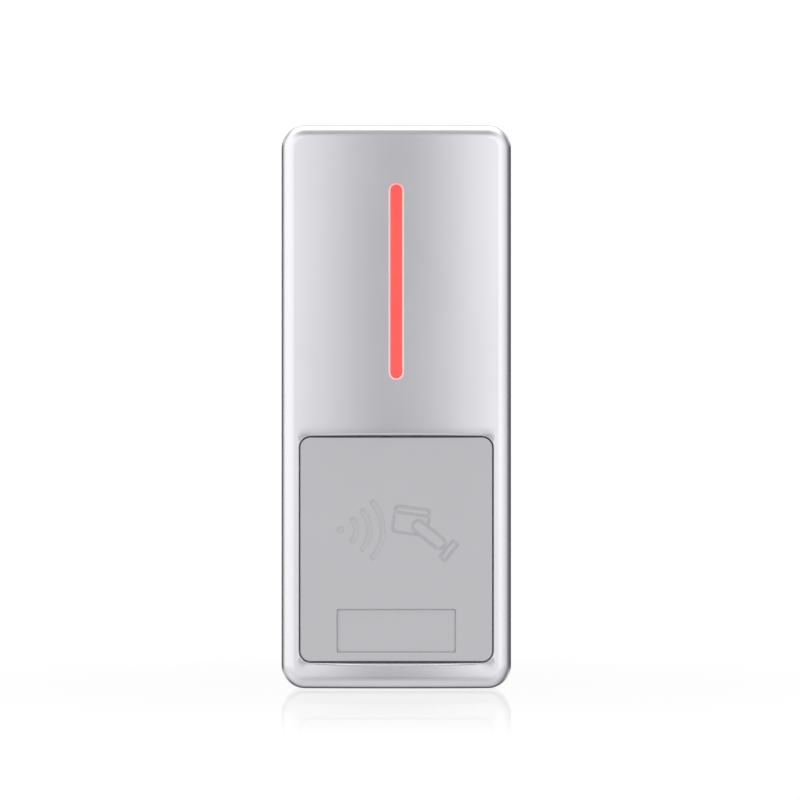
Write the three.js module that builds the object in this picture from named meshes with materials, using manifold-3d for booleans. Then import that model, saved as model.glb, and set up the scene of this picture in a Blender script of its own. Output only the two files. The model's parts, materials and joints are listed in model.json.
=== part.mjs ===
// A wall-mounted RFID card reader in a die-cast case, with its wall plate and everything inside it.
// Lengths are millimetres. X runs across the reader, Y runs into the wall and Z runs up. The wall is
// the plane y = 0, the origin is on the back of the wall plate, and the front of the reader faces -Y.
// "rear" is always the larger y of a piece and "front" the smaller one.
import * as THREE from "three";
import { mergeVertices } from "three/addons/utils/BufferGeometryUtils.js";
import Module from "manifold-3d";

const wasm = await Module();
wasm.setup();

// ---- Driving sizes -------------------------------------------------------------------------------

const WIDTH = 52;
const HEIGHT = 127.5;
const DEPTH = 21; // from the wall to the crest of the crowned front
const CORNER_RADIUS = 5.3;
const EDGE_FILLET = 3;
const CROWN_RISE = 1.5; // how far the middle of the front stands ahead of its two long edges
const CROWN_RADIUS = (WIDTH / 2) ** 2 / (2 * CROWN_RISE);
const WALL = 2.4;
const FIT = 0.3; // clearance between pieces that meet

const ARC_STEPS = 3; // curve divisions; an arc gets twice as many chords
const ROUND_SIDES = 24;
const SMALL_SIDES = 16;
const CORNER_STEPS = 6;
const CROWN_STEPS = 12;
const FILLET_STEPS = 5;

// Levels across the depth of the case.
const RIM = -0.5; // the case's rear rim, just clear of the wall
const PLATE_THICKNESS = 1.2;
const PLATE_RECESS = -3.4;
const COVER_REAR = -3.6;
const COVER_FRONT = -6;
const LEDGE = -7; // the step that the cover's seal lies on
const REAR_CHAMBER = -12;
const FACE_INNER = -18; // back of the front wall
const WINDOW_FRAME_REAR = -16.1; // back of the thicker wall round the card window
const WINDOW_SEAT = -17.65; // the step that the card window is stuck to

// The main board and what stands on it.
const BOARD_REAR = -11.4;
const BOARD_FRONT = -13;
const BOARD_SCREWS = [
  [-16.3, 42.5],
  [16.3, 42.5],
  [-16.3, -0.8],
  [16.3, -0.8],
];

// The card window, a flat plastic panel in the lower half of the front.
const WINDOW = { width: 43.4, height: 50.6, radius: 2.35, z: -32.2, front: -19.9 };
const WINDOW_HOLE = { width: 40, height: 47.3, radius: 2 };
const LABEL_RECESS = { width: 26.9, height: 9.8, depth: 0.25, z: -50.6 };
const PICTOGRAM = {
  depth: 0.2,
  wave: { x: -12.6, z: -27.9, radii: [3.6, 6.6, 9.6], halfAngle: 0.7, stroke: 1.45 },
  line: 0.75, // width of the drawn lines
  tilt: 0.14,
};

// The light bar, a slot with round ends in the upper half of the front.
const SLOT = { width: 3.2, height: 44.3, z: 28.3 };
const LED_COUNT = 6;
const LED_PITCH = 7.5;

// The case's rear opening, the cover that closes it and the screws that hold the cover.
const COVER = { halfWidth: 24, low: -53.2, high: 55.6 };
const CHAMBER = { halfWidth: 22.2, low: -51.4, high: 53.8 };
const COVER_SCREWS = [
  [-19.4, 50.8],
  [19.4, 50.8],
  [-19.4, -48.4],
  [19.4, -48.4],
];

// The wall plate. Its hook carries the case, which tilts out about the top of the hook's lip.
const PLATE = { width: 45, low: -56.4, high: 57.4, radius: 4 };
const HOOK = { halfWidth: 12, shelf: 58.9, y: -5.6, top: 61.9 };
const TAB = { halfWidth: 7, z: -57.65, front: -9 };
const WALL_SLOT = { width: 4.5, height: 16, z: 36 };
const CABLE = { x: 0, z: 14, plateRadius: 6.5, coverRadius: 5.9 };

// The lock screw, which stands upright in the tab at the foot of the wall plate.
const LOCK = { y: -5.6, travel: 1.25, web: 1.5, washer: 0.5, head: 1.7, sunk: 0.35 };
const LOCK_POCKET = LOCK.sunk + LOCK.travel + LOCK.head + LOCK.washer;
const LOCK_WEB_LOW = -HEIGHT / 2 + LOCK_POCKET;
const LOCK_WEB_HIGH = LOCK_WEB_LOW + LOCK.web;

// The tamper switch, whose plunger reaches the wall through the cover and the wall plate.
const TAMPER = { x: -10, z: 6, rod: 1.6, collar: 2.05, travel: 2 };

// ---- Materials -----------------------------------------------------------------------------------

const material = (color, roughness, metalness = 0) =>
  new THREE.MeshStandardMaterial({ color, roughness, metalness });

const MATERIALS = {
  satinSilver: material(0xc4c4c8, 0.32, 0.9),
  greyPlastic: material(0xbababe, 0.55),
  redAcrylic: material(0xff5f60, 0.25),
  whitePlastic: material(0xf0f0ec, 0.5),
  blackPlastic: material(0x2a2b2d, 0.5),
  blackRubber: material(0x1d1d1f, 0.8),
  clearSilicone: material(0xd8d8d2, 0.6),
  zincPlatedSteel: material(0xb9bcbf, 0.35, 0.9),
  stainlessSteel: material(0xc9cacc, 0.25, 1),
  greenBoard: material(0x1d6b3c, 0.45),
  chipBlack: material(0x1b1b1d, 0.5),
  copperWire: material(0xb3653a, 0.35, 0.8),
  ferrite: material(0x3a3a3d, 0.7),
  tinnedCan: material(0xd2d3d5, 0.25, 1),
  creamNylon: material(0xe9e6d8, 0.5),
  foamTape: material(0x303033, 0.9),
  labelFilm: material(0xe4e5e6, 0.4),
  ledLens: material(0xf6efd2, 0.3),
};

// ---- Shapes --------------------------------------------------------------------------------------

/** A rounded rectangle drawn in X and Z. */
function roundedRect(width, height, radius, x = 0, z = 0) {
  const right = width / 2 - radius;
  const top = height / 2 - radius;
  const quarter = Math.PI / 2;
  return new THREE.Shape()
    .absarc(x + right, z + top, radius, 0, quarter)
    .absarc(x - right, z + top, radius, quarter, 2 * quarter)
    .absarc(x - right, z - top, radius, 2 * quarter, 3 * quarter)
    .absarc(x + right, z - top, radius, 3 * quarter, 4 * quarter);
}

/** A slot with round ends, standing upright. */
function stadium(width, height, x = 0, z = 0) {
  const end = (height - width) / 2;
  return new THREE.Shape()
    .absarc(x, z + end, width / 2, 0, Math.PI)
    .absarc(x, z - end, width / 2, Math.PI, 2 * Math.PI);
}

/** A shape drawn in X and Z, given thickness along Y. */
function slab(shape, rear, front, steps = ARC_STEPS) {
  return new THREE.ExtrudeGeometry(shape, {
    depth: rear - front,
    bevelEnabled: false,
    curveSegments: steps,
  })
    .rotateX(Math.PI / 2)
    .translate(0, rear, 0);
}

/** A block between two corners. */
function block([x0, x1], [y0, y1], [z0, z1]) {
  return new THREE.BoxGeometry(x1 - x0, y1 - y0, z1 - z0).translate(
    (x0 + x1) / 2,
    (y0 + y1) / 2,
    (z0 + z1) / 2,
  );
}

/** A round bar along Y. */
function rod(radius, rear, front, x, z, sides = SMALL_SIDES) {
  return new THREE.CylinderGeometry(radius, radius, rear - front, sides).translate(
    x,
    (rear + front) / 2,
    z,
  );
}

/** A turned piece about an axis along Y. The profile lists [radius, y] with y rising on its outside. */
function turned(profile, x, z, sides = ROUND_SIDES) {
  const points = profile.map(([radius, y]) => new THREE.Vector2(radius, y));
  return new THREE.LatheGeometry(points, sides).translate(x, 0, z);
}

/** A turned piece about an axis along Z. */
function turnedUpright(profile, x, y, sides = ROUND_SIDES) {
  const points = profile.map(([radius, z]) => new THREE.Vector2(radius, z));
  return new THREE.LatheGeometry(points, sides).rotateX(Math.PI / 2).translate(x, y, 0);
}

/** A frame: a rounded rectangle with a rounded rectangular hole. */
function frame(width, height, radius, border, z, rear, front) {
  const shape = roundedRect(width, height, radius, 0, z);
  const hole = roundedRect(
    width - 2 * border,
    height - 2 * border,
    Math.max(radius - border, 0.4),
    0,
    z,
  );
  shape.holes.push(hole);
  return slab(shape, rear, front);
}

// ---- Booleans ------------------------------------------------------------------------------------

/** A closed geometry as a manifold solid. */
function solid(geometry) {
  const bare = geometry.index ? geometry.toNonIndexed() : geometry.clone();
  bare.deleteAttribute("normal");
  bare.deleteAttribute("uv");
  const merged = mergeVertices(bare, 1e-4);
  return new wasm.Manifold(
    new wasm.Mesh({
      numProp: 3,
      vertProperties: merged.attributes.position.array,
      triVerts: new Uint32Array(merged.index.array),
    }),
  );
}

/** A manifold solid as a geometry. */
function geometryOf(body) {
  const mesh = body.getMesh();
  const geometry = new THREE.BufferGeometry();
  geometry.setAttribute("position", new THREE.BufferAttribute(mesh.vertProperties, 3));
  geometry.setIndex(new THREE.BufferAttribute(mesh.triVerts, 1));
  geometry.computeVertexNormals();
  return geometry;
}

/** What is left of the first geometry when the others are taken away. */
function cut(geometry, ...tools) {
  return geometryOf(tools.reduce((body, tool) => body.subtract(solid(tool)), solid(geometry)));
}

/** All the geometries as one. */
function join(...geometries) {
  return geometryOf(geometries.map(solid).reduce((body, other) => body.add(other)));
}

// ---- The scene graph -----------------------------------------------------------------------------

const reader = new THREE.Group();

/** Adds one named piece. */
function piece(group, name, geometry, finish) {
  const mesh = new THREE.Mesh(geometry, finish);
  mesh.name = name;
  group.add(mesh);
  return mesh;
}

// ---- Front housing -------------------------------------------------------------------------------

/** The y of the crowned front at a distance from the middle. */
const crownAt = (x) => -DEPTH + (x * x) / (2 * CROWN_RADIUS);

/** The upper half of the case's outline, from left to right, drawn in from its edge by an inset. */
function upperOutline(inset) {
  const radius = CORNER_RADIUS - inset;
  const centreX = WIDTH / 2 - CORNER_RADIUS;
  const centreZ = HEIGHT / 2 - CORNER_RADIUS;
  const points = [];
  for (let i = 0; i <= CORNER_STEPS; i++) {
    const turn = (Math.PI / 2) * (i / CORNER_STEPS);
    points.push([-centreX - radius * Math.cos(turn), centreZ + radius * Math.sin(turn)]);
  }
  for (let i = 1; i < CROWN_STEPS; i++) {
    points.push([centreX * ((2 * i) / CROWN_STEPS - 1), centreZ + radius]);
  }
  const leftCorner = points.slice(0, CORNER_STEPS + 1).reverse();
  return points.concat(leftCorner.map(([x, z]) => [-x, z]));
}

/** The solid pillow that the case is cut from: straight sides, rounded front edges, crowned front. */
function crownedBlock() {
  const rings = [{ inset: 0, y: () => RIM }];
  for (let i = 0; i <= FILLET_STEPS; i++) {
    const turn = (Math.PI / 2) * (i / FILLET_STEPS);
    rings.push({
      inset: EDGE_FILLET * (1 - Math.cos(turn)),
      y: (x) => crownAt(x) + EDGE_FILLET * (1 - Math.sin(turn)),
    });
  }
  const positions = [];
  for (const { inset, y } of rings) {
    const upper = upperOutline(inset);
    const lower = upper.map(([x, z]) => [x, -z]).reverse();
    for (const [x, z] of upper.concat(lower)) positions.push(x, y(x), z);
  }
  const around = 2 * upperOutline(0).length;
  const faces = [];
  const quad = (a, b, c, d) => faces.push(a, c, b, a, d, c);
  for (let ring = 0; ring < rings.length - 1; ring++) {
    for (let i = 0; i < around; i++) {
      const next = (i + 1) % around;
      const here = ring * around;
      quad(here + i, here + next, here + around + next, here + around + i);
    }
  }
  // Upright strips close the rear and follow the crown across the front.
  const last = (rings.length - 1) * around;
  for (let i = 0; i < around / 2 - 1; i++) {
    const below = around - 1 - i;
    quad(i, below, below - 1, i + 1);
    quad(last + i, last + i + 1, last + below - 1, last + below);
  }
  const geometry = new THREE.BufferGeometry();
  geometry.setAttribute("position", new THREE.Float32BufferAttribute(positions, 3));
  geometry.setIndex(faces);
  return geometry;
}

/** The hollows behind the front wall, from the front chamber back to the recess of the wall plate. */
function housingHollows() {
  const inside = HEIGHT / 2 - WALL;
  const frameTop = WINDOW.z + WINDOW.height / 2 + 3;
  const chamber = [-CHAMBER.halfWidth, CHAMBER.halfWidth];
  const coverHeight = COVER.high - COVER.low;
  const chamberHeight = CHAMBER.high - CHAMBER.low;
  return [
    block(chamber, [FACE_INNER, REAR_CHAMBER], [frameTop, inside]),
    block(chamber, [WINDOW_FRAME_REAR, REAR_CHAMBER], [-inside, frameTop + 1]),
    slab(
      roundedRect(2 * CHAMBER.halfWidth, chamberHeight, 1.5, 0, CHAMBER.low + chamberHeight / 2),
      LEDGE + 0.5,
      REAR_CHAMBER - 0.5,
    ),
    slab(
      roundedRect(2 * COVER.halfWidth, coverHeight, 3.3, 0, COVER.low + coverHeight / 2),
      PLATE_RECESS + 0.5,
      LEDGE,
    ),
    slab(roundedRect(2 * COVER.halfWidth, 2 * inside, 3.3), RIM + 1, PLATE_RECESS),
  ];
}

/** The hollows above and below the cover, where the wall plate's hook and tab reach in. */
function hookAndTabHollows() {
  const inside = HEIGHT / 2 - WALL;
  const shelf = 1.5;
  const hookLow = COVER.high + shelf;
  const tabHigh = COVER.low - shelf;
  const openings = [
    block([-14, 14], [-9, RIM], [hookLow, inside]),
    block([-12.8, 12.8], [HOOK.y - 1.3, HOOK.y + 1.3], [inside - 1, HOOK.top + FIT]),
    block([-9.5, 9.5], [-10.5, RIM], [LOCK_WEB_HIGH, tabHigh]),
  ];
  for (const side of [-1, 1]) {
    const across = (near, far) => (side > 0 ? [near, far] : [-far, -near]);
    openings.push(block(across(15.5, 22.8), [-9, RIM], [hookLow, inside]));
    openings.push(block(across(11, 22.8), [-10.5, RIM], [-inside, tabHigh]));
  }
  return openings;
}

/** An upright pocket with a round front end, open to the rear, for the lock screw. */
function lockCutter(radius, low, high) {
  const shape = new THREE.Shape()
    .moveTo(radius, 2)
    .lineTo(-radius, 2)
    .lineTo(-radius, LOCK.y)
    .absarc(0, LOCK.y, radius, Math.PI, 2 * Math.PI);
  return new THREE.ExtrudeGeometry(shape, {
    depth: high - low,
    bevelEnabled: false,
    curveSegments: 2 * ARC_STEPS,
  }).translate(0, 0, low);
}

function frontHousing() {
  const pilot = 1.15;
  const posts = [];
  const pilots = [];
  for (const [x, z] of BOARD_SCREWS) {
    posts.push(rod(2.8, BOARD_FRONT - 0.2, FACE_INNER - 0.5, x, z));
    pilots.push(rod(pilot, BOARD_FRONT + 1, FACE_INNER + 0.7, x, z));
  }
  for (const [x, z] of COVER_SCREWS) {
    const wall = Math.sign(x) * (CHAMBER.halfWidth + 0.5);
    const end = z > 0 ? CHAMBER.high + 0.5 : CHAMBER.low - 0.5;
    const front = z > 0 ? FACE_INNER - 0.5 : REAR_CHAMBER;
    posts.push(rod(3, LEDGE, front, x, z));
    posts.push(block([Math.min(x, wall), Math.max(x, wall)], [front, LEDGE], [z - 2, z + 2]));
    posts.push(block([x - 2, x + 2], [front, LEDGE], [Math.min(z, end), Math.max(z, end)]));
    pilots.push(rod(pilot + 0.05, LEDGE + 1, LEDGE - 4.2, x, z));
  }
  const windowPocket = roundedRect(
    WINDOW.width + 2 * FIT,
    WINDOW.height + 2 * FIT,
    WINDOW.radius + FIT,
    0,
    WINDOW.z,
  );
  const windowHole = roundedRect(
    WINDOW_HOLE.width,
    WINDOW_HOLE.height,
    WINDOW_HOLE.radius,
    0,
    WINDOW.z,
  );
  const hollowed = cut(crownedBlock(), ...housingHollows());
  return cut(
    join(hollowed, ...posts),
    ...hookAndTabHollows(),
    ...pilots,
    slab(windowPocket, WINDOW_SEAT, -DEPTH - 1),
    slab(windowHole, REAR_CHAMBER, -DEPTH),
    slab(stadium(SLOT.width, SLOT.height, 0, SLOT.z), FACE_INNER + 1, -DEPTH - 1),
    lockCutter(3.5, -HEIGHT / 2 - 1, LOCK_WEB_LOW),
    lockCutter(1.9, LOCK_WEB_LOW - 1, LOCK_WEB_HIGH + 1),
  );
}

piece(reader, "front_housing", frontHousing(), MATERIALS.satinSilver);

// ---- Card window and antenna ---------------------------------------------------------------------

/** A line with round ends that follows an arc, open to the left. */
function arcStroke(x, z, radius, halfAngle, stroke) {
  const endX = x + radius * Math.cos(halfAngle);
  const endZ = radius * Math.sin(halfAngle);
  return new THREE.Shape()
    .absarc(x, z, radius + stroke / 2, -halfAngle, halfAngle)
    .absarc(endX, z + endZ, stroke / 2, halfAngle, halfAngle + Math.PI)
    .absarc(x, z, radius - stroke / 2, halfAngle, -halfAngle, true)
    .absarc(endX, z - endZ, stroke / 2, -halfAngle - Math.PI, -halfAngle);
}

/** The sunk picture on the panel: a dot with three waves, and a thumb that holds a card. */
function pictogramCutters() {
  const [rear, front] = [WINDOW.front + PICTOGRAM.depth, WINDOW.front - 1];
  const { wave, line, tilt } = PICTOGRAM;
  const dot = rod(0.9, rear, front, wave.x, wave.z);
  const waves = wave.radii.map((radius) =>
    slab(arcStroke(wave.x, wave.z, radius, wave.halfAngle, wave.stroke), rear, front),
  );
  const outlined = (width, height, radius, turn, x, z) =>
    frame(width, height, radius, line, 0, rear, front).rotateY(turn).translate(x, 0, z);
  const filled = (width, height, radius, turn, x, z) =>
    slab(roundedRect(width, height, radius), rear, front).rotateY(turn).translate(x, 0, z);
  const card = [8.6, 6.6, 1.2, tilt, 3.4, -25.8];
  const stripe = [8, line, 0.1, tilt, 3.65, -24.3];
  const thumb = [9.4, 3.4, 1.65, 0.68, 7.4, -28.9];
  const cuff = [2.2, 5.4, 0.5, 0.68, 11.9, -32.55];
  const gripped = [outlined(...card), filled(...stripe)].map((mark) =>
    cut(mark, filled(...thumb)),
  );
  return [dot, ...waves, ...gripped, outlined(...thumb), outlined(...cuff)];
}

const cardPanel = cut(
  slab(
    roundedRect(WINDOW.width, WINDOW.height, WINDOW.radius, 0, WINDOW.z),
    WINDOW_SEAT - 0.5,
    WINDOW.front,
  ),
  slab(
    roundedRect(LABEL_RECESS.width, LABEL_RECESS.height, 0.4, 0, LABEL_RECESS.z),
    WINDOW.front + LABEL_RECESS.depth,
    WINDOW.front - 1,
    1,
  ),
  ...pictogramCutters(),
);
piece(reader, "card_window", cardPanel, MATERIALS.greyPlastic);

const TAPE_BORDER = 1.65;
piece(
  reader,
  "window_tape",
  frame(
    WINDOW.width + 0.4,
    WINDOW.height + 0.4,
    WINDOW.radius + 0.2,
    TAPE_BORDER,
    WINDOW.z,
    WINDOW_SEAT - 0.1,
    WINDOW_SEAT - 0.4,
  ),
  MATERIALS.foamTape,
);

// A tray that drops through the window's hole: a floor, an outer wall and an inner core for the coil.
const TRAY = { width: 39.3, height: 46.6, radius: 1.6, front: -17.9, floor: -16.9, rear: -12.4 };
const CORE = { width: 30, height: 37, rear: -14.1 };
const LEAD_X = [9.6, 11.2];

function antennaFrame() {
  const tray = frame(
    TRAY.width,
    TRAY.height,
    TRAY.radius,
    1,
    WINDOW.z,
    TRAY.rear,
    TRAY.floor - 0.5,
  );
  const floor = slab(
    roundedRect(TRAY.width, TRAY.height, TRAY.radius, 0, WINDOW.z),
    TRAY.floor,
    TRAY.front,
  );
  const core = frame(CORE.width, CORE.height, 2, 1.2, WINDOW.z, CORE.rear, TRAY.floor - 0.5);
  const top = WINDOW.z + TRAY.height / 2;
  const leadNotch = block([LEAD_X[0] - 0.9, LEAD_X[1] + 0.9], [-16.2, 0], [top - 2, top + 1]);
  return cut(join(floor, tray, core), leadNotch);
}

const COIL = { width: 36.6, height: 43.6, band: 3, rear: -14.3, front: -16.7 };

/** The two ends of the winding, which rise from the coil to pads on the front of the main board. */
function coilLead(x) {
  const coilTop = WINDOW.z + COIL.height / 2;
  const route = new THREE.CatmullRomCurve3([
    new THREE.Vector3(x, -15.5, coilTop + FIT),
    new THREE.Vector3(x, -15.3, coilTop + 2.4),
    new THREE.Vector3(x, -15, coilTop + 4.6),
    new THREE.Vector3(x, -14.2, coilTop + 6.4),
    new THREE.Vector3(x, -13.6, coilTop + 8.2),
  ]);
  const wire = new THREE.Shape().absarc(0, 0, 0.35, 0, 2 * Math.PI);
  return new THREE.ExtrudeGeometry(wire, { extrudePath: route, steps: 12, curveSegments: 4 });
}

piece(reader, "antenna_frame", antennaFrame(), MATERIALS.whitePlastic);
piece(
  reader,
  "antenna_coil",
  frame(COIL.width, COIL.height, 4, COIL.band, WINDOW.z, COIL.rear, COIL.front),
  MATERIALS.copperWire,
);
LEAD_X.forEach((x, i) => {
  piece(reader, `coil_lead_${i + 1}`, coilLead(x), MATERIALS.copperWire);
});
piece(
  reader,
  "ferrite_sheet",
  slab(roundedRect(36.6, 43.6, 1, 0, WINDOW.z), -13.1, -13.9, 1),
  MATERIALS.ferrite,
);

// ---- Light bar -----------------------------------------------------------------------------------

const LENS = { front: -20.75, flangeFront: -17.5, rear: -16.5, flange: 1.75 };

const lensBody = slab(
  stadium(SLOT.width - 0.5, SLOT.height - 0.5, 0, SLOT.z),
  LENS.rear - 0.5,
  LENS.front,
);
const lensFlange = slab(
  stadium(SLOT.width + 2 * LENS.flange, SLOT.height + 2 * LENS.flange, 0, SLOT.z),
  LENS.rear,
  LENS.flangeFront,
);
piece(reader, "light_bar_lens", join(lensBody, lensFlange), MATERIALS.redAcrylic);

const sealShape = stadium(SLOT.width + 3, SLOT.height + 3, 0, SLOT.z);
sealShape.holes.push(stadium(SLOT.width + 0.6, SLOT.height + 0.6, 0, SLOT.z));
piece(
  reader,
  "lens_seal",
  slab(sealShape, LENS.flangeFront - 0.1, FACE_INNER + 0.1),
  MATERIALS.clearSilicone,
);

const reflectorShape = roundedRect(9.5, 49.5, 1.5, 0, SLOT.z);
reflectorShape.holes.push(roundedRect(5, 44.6, 1, 0, SLOT.z));
piece(
  reader,
  "light_reflector",
  slab(reflectorShape, BOARD_FRONT - 0.2, LENS.rear + 0.1, 1),
  MATERIALS.whitePlastic,
);

for (let i = 0; i < LED_COUNT; i++) {
  const z = SLOT.z + (i - (LED_COUNT - 1) / 2) * LED_PITCH;
  const base = block([-1.5, 1.5], [-14, BOARD_FRONT - 0.1], [z - 1.3, z + 1.3]);
  const lens = new THREE.SphereGeometry(1.15, 12, 8).scale(1, 0.8, 1).translate(0, -14, z);
  piece(reader, `status_led_${i + 1}`, join(base, lens), MATERIALS.ledLens);
}

// ---- Main board and its parts --------------------------------------------------------------------

/** A pan-head screw along Y, its shank pointing to the front, with a six-sided socket. */
function panScrew(x, z, headRadius, headHeight, shankRadius, underHead, length) {
  const top = underHead + headHeight;
  const body = turned(
    [
      [0, underHead - length],
      [shankRadius * 0.6, underHead - length],
      [shankRadius, underHead - length + 0.8],
      [shankRadius, underHead],
      [headRadius, underHead],
      [headRadius, underHead + headHeight * 0.45],
      [headRadius * 0.75, top],
      [0, top],
    ],
    x,
    z,
    SMALL_SIDES,
  );
  return cut(body, rod(headRadius * 0.45, top + 1, top - headHeight * 0.55, x, z, 6));
}

function mainBoard() {
  const [left, right, low, high] = [-20, 20, -4.5, 51.5];
  const notch = { x: 15.4, z: 46.4 };
  const outline = new THREE.Shape([
    new THREE.Vector2(left, low),
    new THREE.Vector2(right, low),
    new THREE.Vector2(right, notch.z),
    new THREE.Vector2(notch.x, notch.z),
    new THREE.Vector2(notch.x, high),
    new THREE.Vector2(-notch.x, high),
    new THREE.Vector2(-notch.x, notch.z),
    new THREE.Vector2(left, notch.z),
  ]);
  const holes = BOARD_SCREWS.map(([x, z]) => rod(1.35, 0, -20, x, z));
  return cut(slab(outline, BOARD_REAR, BOARD_FRONT), ...holes);
}

piece(reader, "main_board", mainBoard(), MATERIALS.greenBoard);
BOARD_SCREWS.forEach(([x, z], i) => {
  const screw = panScrew(x, z, 2.2, 1.4, 0.9, BOARD_REAR + 0.1, 5.6);
  piece(reader, `board_screw_${i + 1}`, screw, MATERIALS.stainlessSteel);
});

const ON_BOARD = BOARD_REAR + 0.1; // where the parts on the back of the board stand

/** A moulded package on the back of the board, with its legs as a thinner wider foot. */
function chip(width, height, thickness, legs, x, z) {
  const [halfX, halfZ] = [width / 2, height / 2];
  const body = block(
    [x - halfX, x + halfX],
    [ON_BOARD + 0.2, ON_BOARD + thickness],
    [z - halfZ, z + halfZ],
  );
  const foot = block(
    [x - halfX - legs.x, x + halfX + legs.x],
    [ON_BOARD, ON_BOARD + 0.4],
    [z - halfZ - legs.z, z + halfZ + legs.z],
  );
  return join(body, foot);
}

function can(radius, height, x, z) {
  return turned(
    [
      [0, ON_BOARD],
      [radius, ON_BOARD],
      [radius, ON_BOARD + height - 0.4],
      [radius - 0.4, ON_BOARD + height],
      [0, ON_BOARD + height],
    ],
    x,
    z,
  );
}

function buzzer(x, z) {
  return cut(can(4.8, 4.6, x, z), rod(0.9, ON_BOARD + 6, ON_BOARD + 3.4, x, z));
}

function crystalCan(x, z) {
  const base = slab(roundedRect(11, 4.6, 2.2, x, z), ON_BOARD + 0.5, ON_BOARD, 2);
  const body = slab(roundedRect(10.2, 3.8, 1.85, x, z), ON_BOARD + 3.4, ON_BOARD + 0.2, 2);
  return join(base, body);
}

function powerInductor(x, z) {
  const base = slab(roundedRect(6.8, 6.8, 1, x, z), ON_BOARD + 0.7, ON_BOARD, 1);
  const drum = turned(
    [
      [0, ON_BOARD + 0.5],
      [3.1, ON_BOARD + 0.5],
      [3.1, ON_BOARD + 0.9],
      [2.3, ON_BOARD + 1.1],
      [2.3, ON_BOARD + 2.6],
      [3.1, ON_BOARD + 2.8],
      [3.1, ON_BOARD + 3.2],
      [0, ON_BOARD + 3.2],
    ],
    x,
    z,
  );
  return join(base, drum);
}

function wireHeader(x, z) {
  const shell = block([x - 9, x + 9], [ON_BOARD, ON_BOARD + 4.2], [z - 2.5, z + 2.5]);
  const mouth = block([x - 8.4, x + 8.4], [ON_BOARD + 0.8, ON_BOARD + 6], [z - 1.9, z + 1.9]);
  const key = block([x - 2, x + 2], [ON_BOARD + 0.8, ON_BOARD + 6], [z - 3, z - 1.5]);
  const pins = [];
  for (let i = 0; i < 8; i++) {
    const pinX = x - 7 + 2 * i;
    pins.push(
      block([pinX - 0.3, pinX + 0.3], [ON_BOARD + 0.5, ON_BOARD + 3.6], [z - 0.3, z + 0.3]),
    );
  }
  return join(cut(shell, mouth, key), ...pins);
}

piece(
  reader,
  "processor_chip",
  chip(7, 7, 1.4, { x: 0.9, z: 0.9 }, 9, 33),
  MATERIALS.chipBlack,
);
piece(reader, "rf_chip", chip(8.6, 3.9, 1.5, { x: 0, z: 1 }, 9, 22.5), MATERIALS.chipBlack);
piece(
  reader,
  "voltage_regulator",
  chip(6.5, 3.5, 1.7, { x: 0, z: 1.5 }, -6.5, 30),
  MATERIALS.chipBlack,
);
piece(
  reader,
  "surge_diode",
  chip(4.3, 2.6, 2.1, { x: 0.6, z: 0 }, 14.5, 11),
  MATERIALS.chipBlack,
);
piece(reader, "crystal_can", crystalCan(6.5, 43.5), MATERIALS.tinnedCan);
piece(reader, "buzzer", buzzer(-7.5, 41), MATERIALS.blackPlastic);
piece(reader, "capacitor_1", can(2.5, 4.4, -14.5, 30), MATERIALS.tinnedCan);
piece(reader, "capacitor_2", can(2.5, 4.4, -14.5, 23.5), MATERIALS.tinnedCan);
piece(reader, "power_inductor", powerInductor(-6, 21.5), MATERIALS.ferrite);
piece(reader, "wire_header", wireHeader(4, 1.5), MATERIALS.creamNylon);

// ---- Tamper switch -------------------------------------------------------------------------------

const SWITCH_FLOOR = -10.9;
const COLLAR_FRONT = -9;
const COLLAR_REAR = COVER_FRONT - TAMPER.travel - 0.2;

const switchCase = cut(
  slab(roundedRect(6.4, 6.4, 0.5, TAMPER.x, TAMPER.z), -7.3, ON_BOARD, 1),
  rod(TAMPER.collar + 0.3, 0, SWITCH_FLOOR, TAMPER.x, TAMPER.z, ROUND_SIDES),
);
piece(reader, "tamper_switch_case", switchCase, MATERIALS.blackPlastic);

/** A compression spring standing along Y between two levels. */
function spring(radius, wireRadius, turns, rear, front) {
  class Helix extends THREE.Curve {
    getPoint(t, target = new THREE.Vector3()) {
      const angle = 2 * Math.PI * turns * t;
      const y = THREE.MathUtils.lerp(front, rear, t);
      return target.set(radius * Math.cos(angle), y, radius * Math.sin(angle));
    }
  }
  const wire = new THREE.Shape().absarc(0, 0, wireRadius, 0, 2 * Math.PI);
  return new THREE.ExtrudeGeometry(wire, {
    extrudePath: new Helix(),
    steps: 14 * turns,
    curveSegments: 3,
  });
}

const tamperSpring = spring(1.5, 0.17, 3, COLLAR_FRONT - 0.35, SWITCH_FLOOR + 0.3);
piece(
  reader,
  "tamper_spring",
  tamperSpring.translate(TAMPER.x, 0, TAMPER.z),
  MATERIALS.stainlessSteel,
);

const plunger = turned(
  [
    [0, COLLAR_FRONT],
    [TAMPER.collar, COLLAR_FRONT],
    [TAMPER.collar, COLLAR_REAR],
    [TAMPER.rod, COLLAR_REAR],
    [TAMPER.rod, -1.1],
    [TAMPER.rod * 0.85, -0.6],
    [TAMPER.rod * 0.5, -0.35],
    [0, -0.3],
  ],
  TAMPER.x,
  TAMPER.z,
);
piece(reader, "tamper_plunger", plunger, MATERIALS.creamNylon);

// ---- Rear cover ----------------------------------------------------------------------------------

function rearCover() {
  const width = 2 * (COVER.halfWidth - FIT);
  const height = COVER.high - COVER.low - 2 * FIT;
  const middle = (COVER.high + COVER.low) / 2;
  const plate = slab(roundedRect(width, height, 3, 0, middle), COVER_REAR, COVER_FRONT);
  const holes = COVER_SCREWS.map(([x, z]) => rod(1.4, 0, -20, x, z));
  return cut(
    plate,
    ...holes,
    rod(CABLE.coverRadius, 0, -20, CABLE.x, CABLE.z, ROUND_SIDES),
    rod(TAMPER.rod + 0.3, 0, -20, TAMPER.x, TAMPER.z, ROUND_SIDES),
  );
}

piece(reader, "rear_cover", rearCover(), MATERIALS.blackPlastic);

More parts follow.
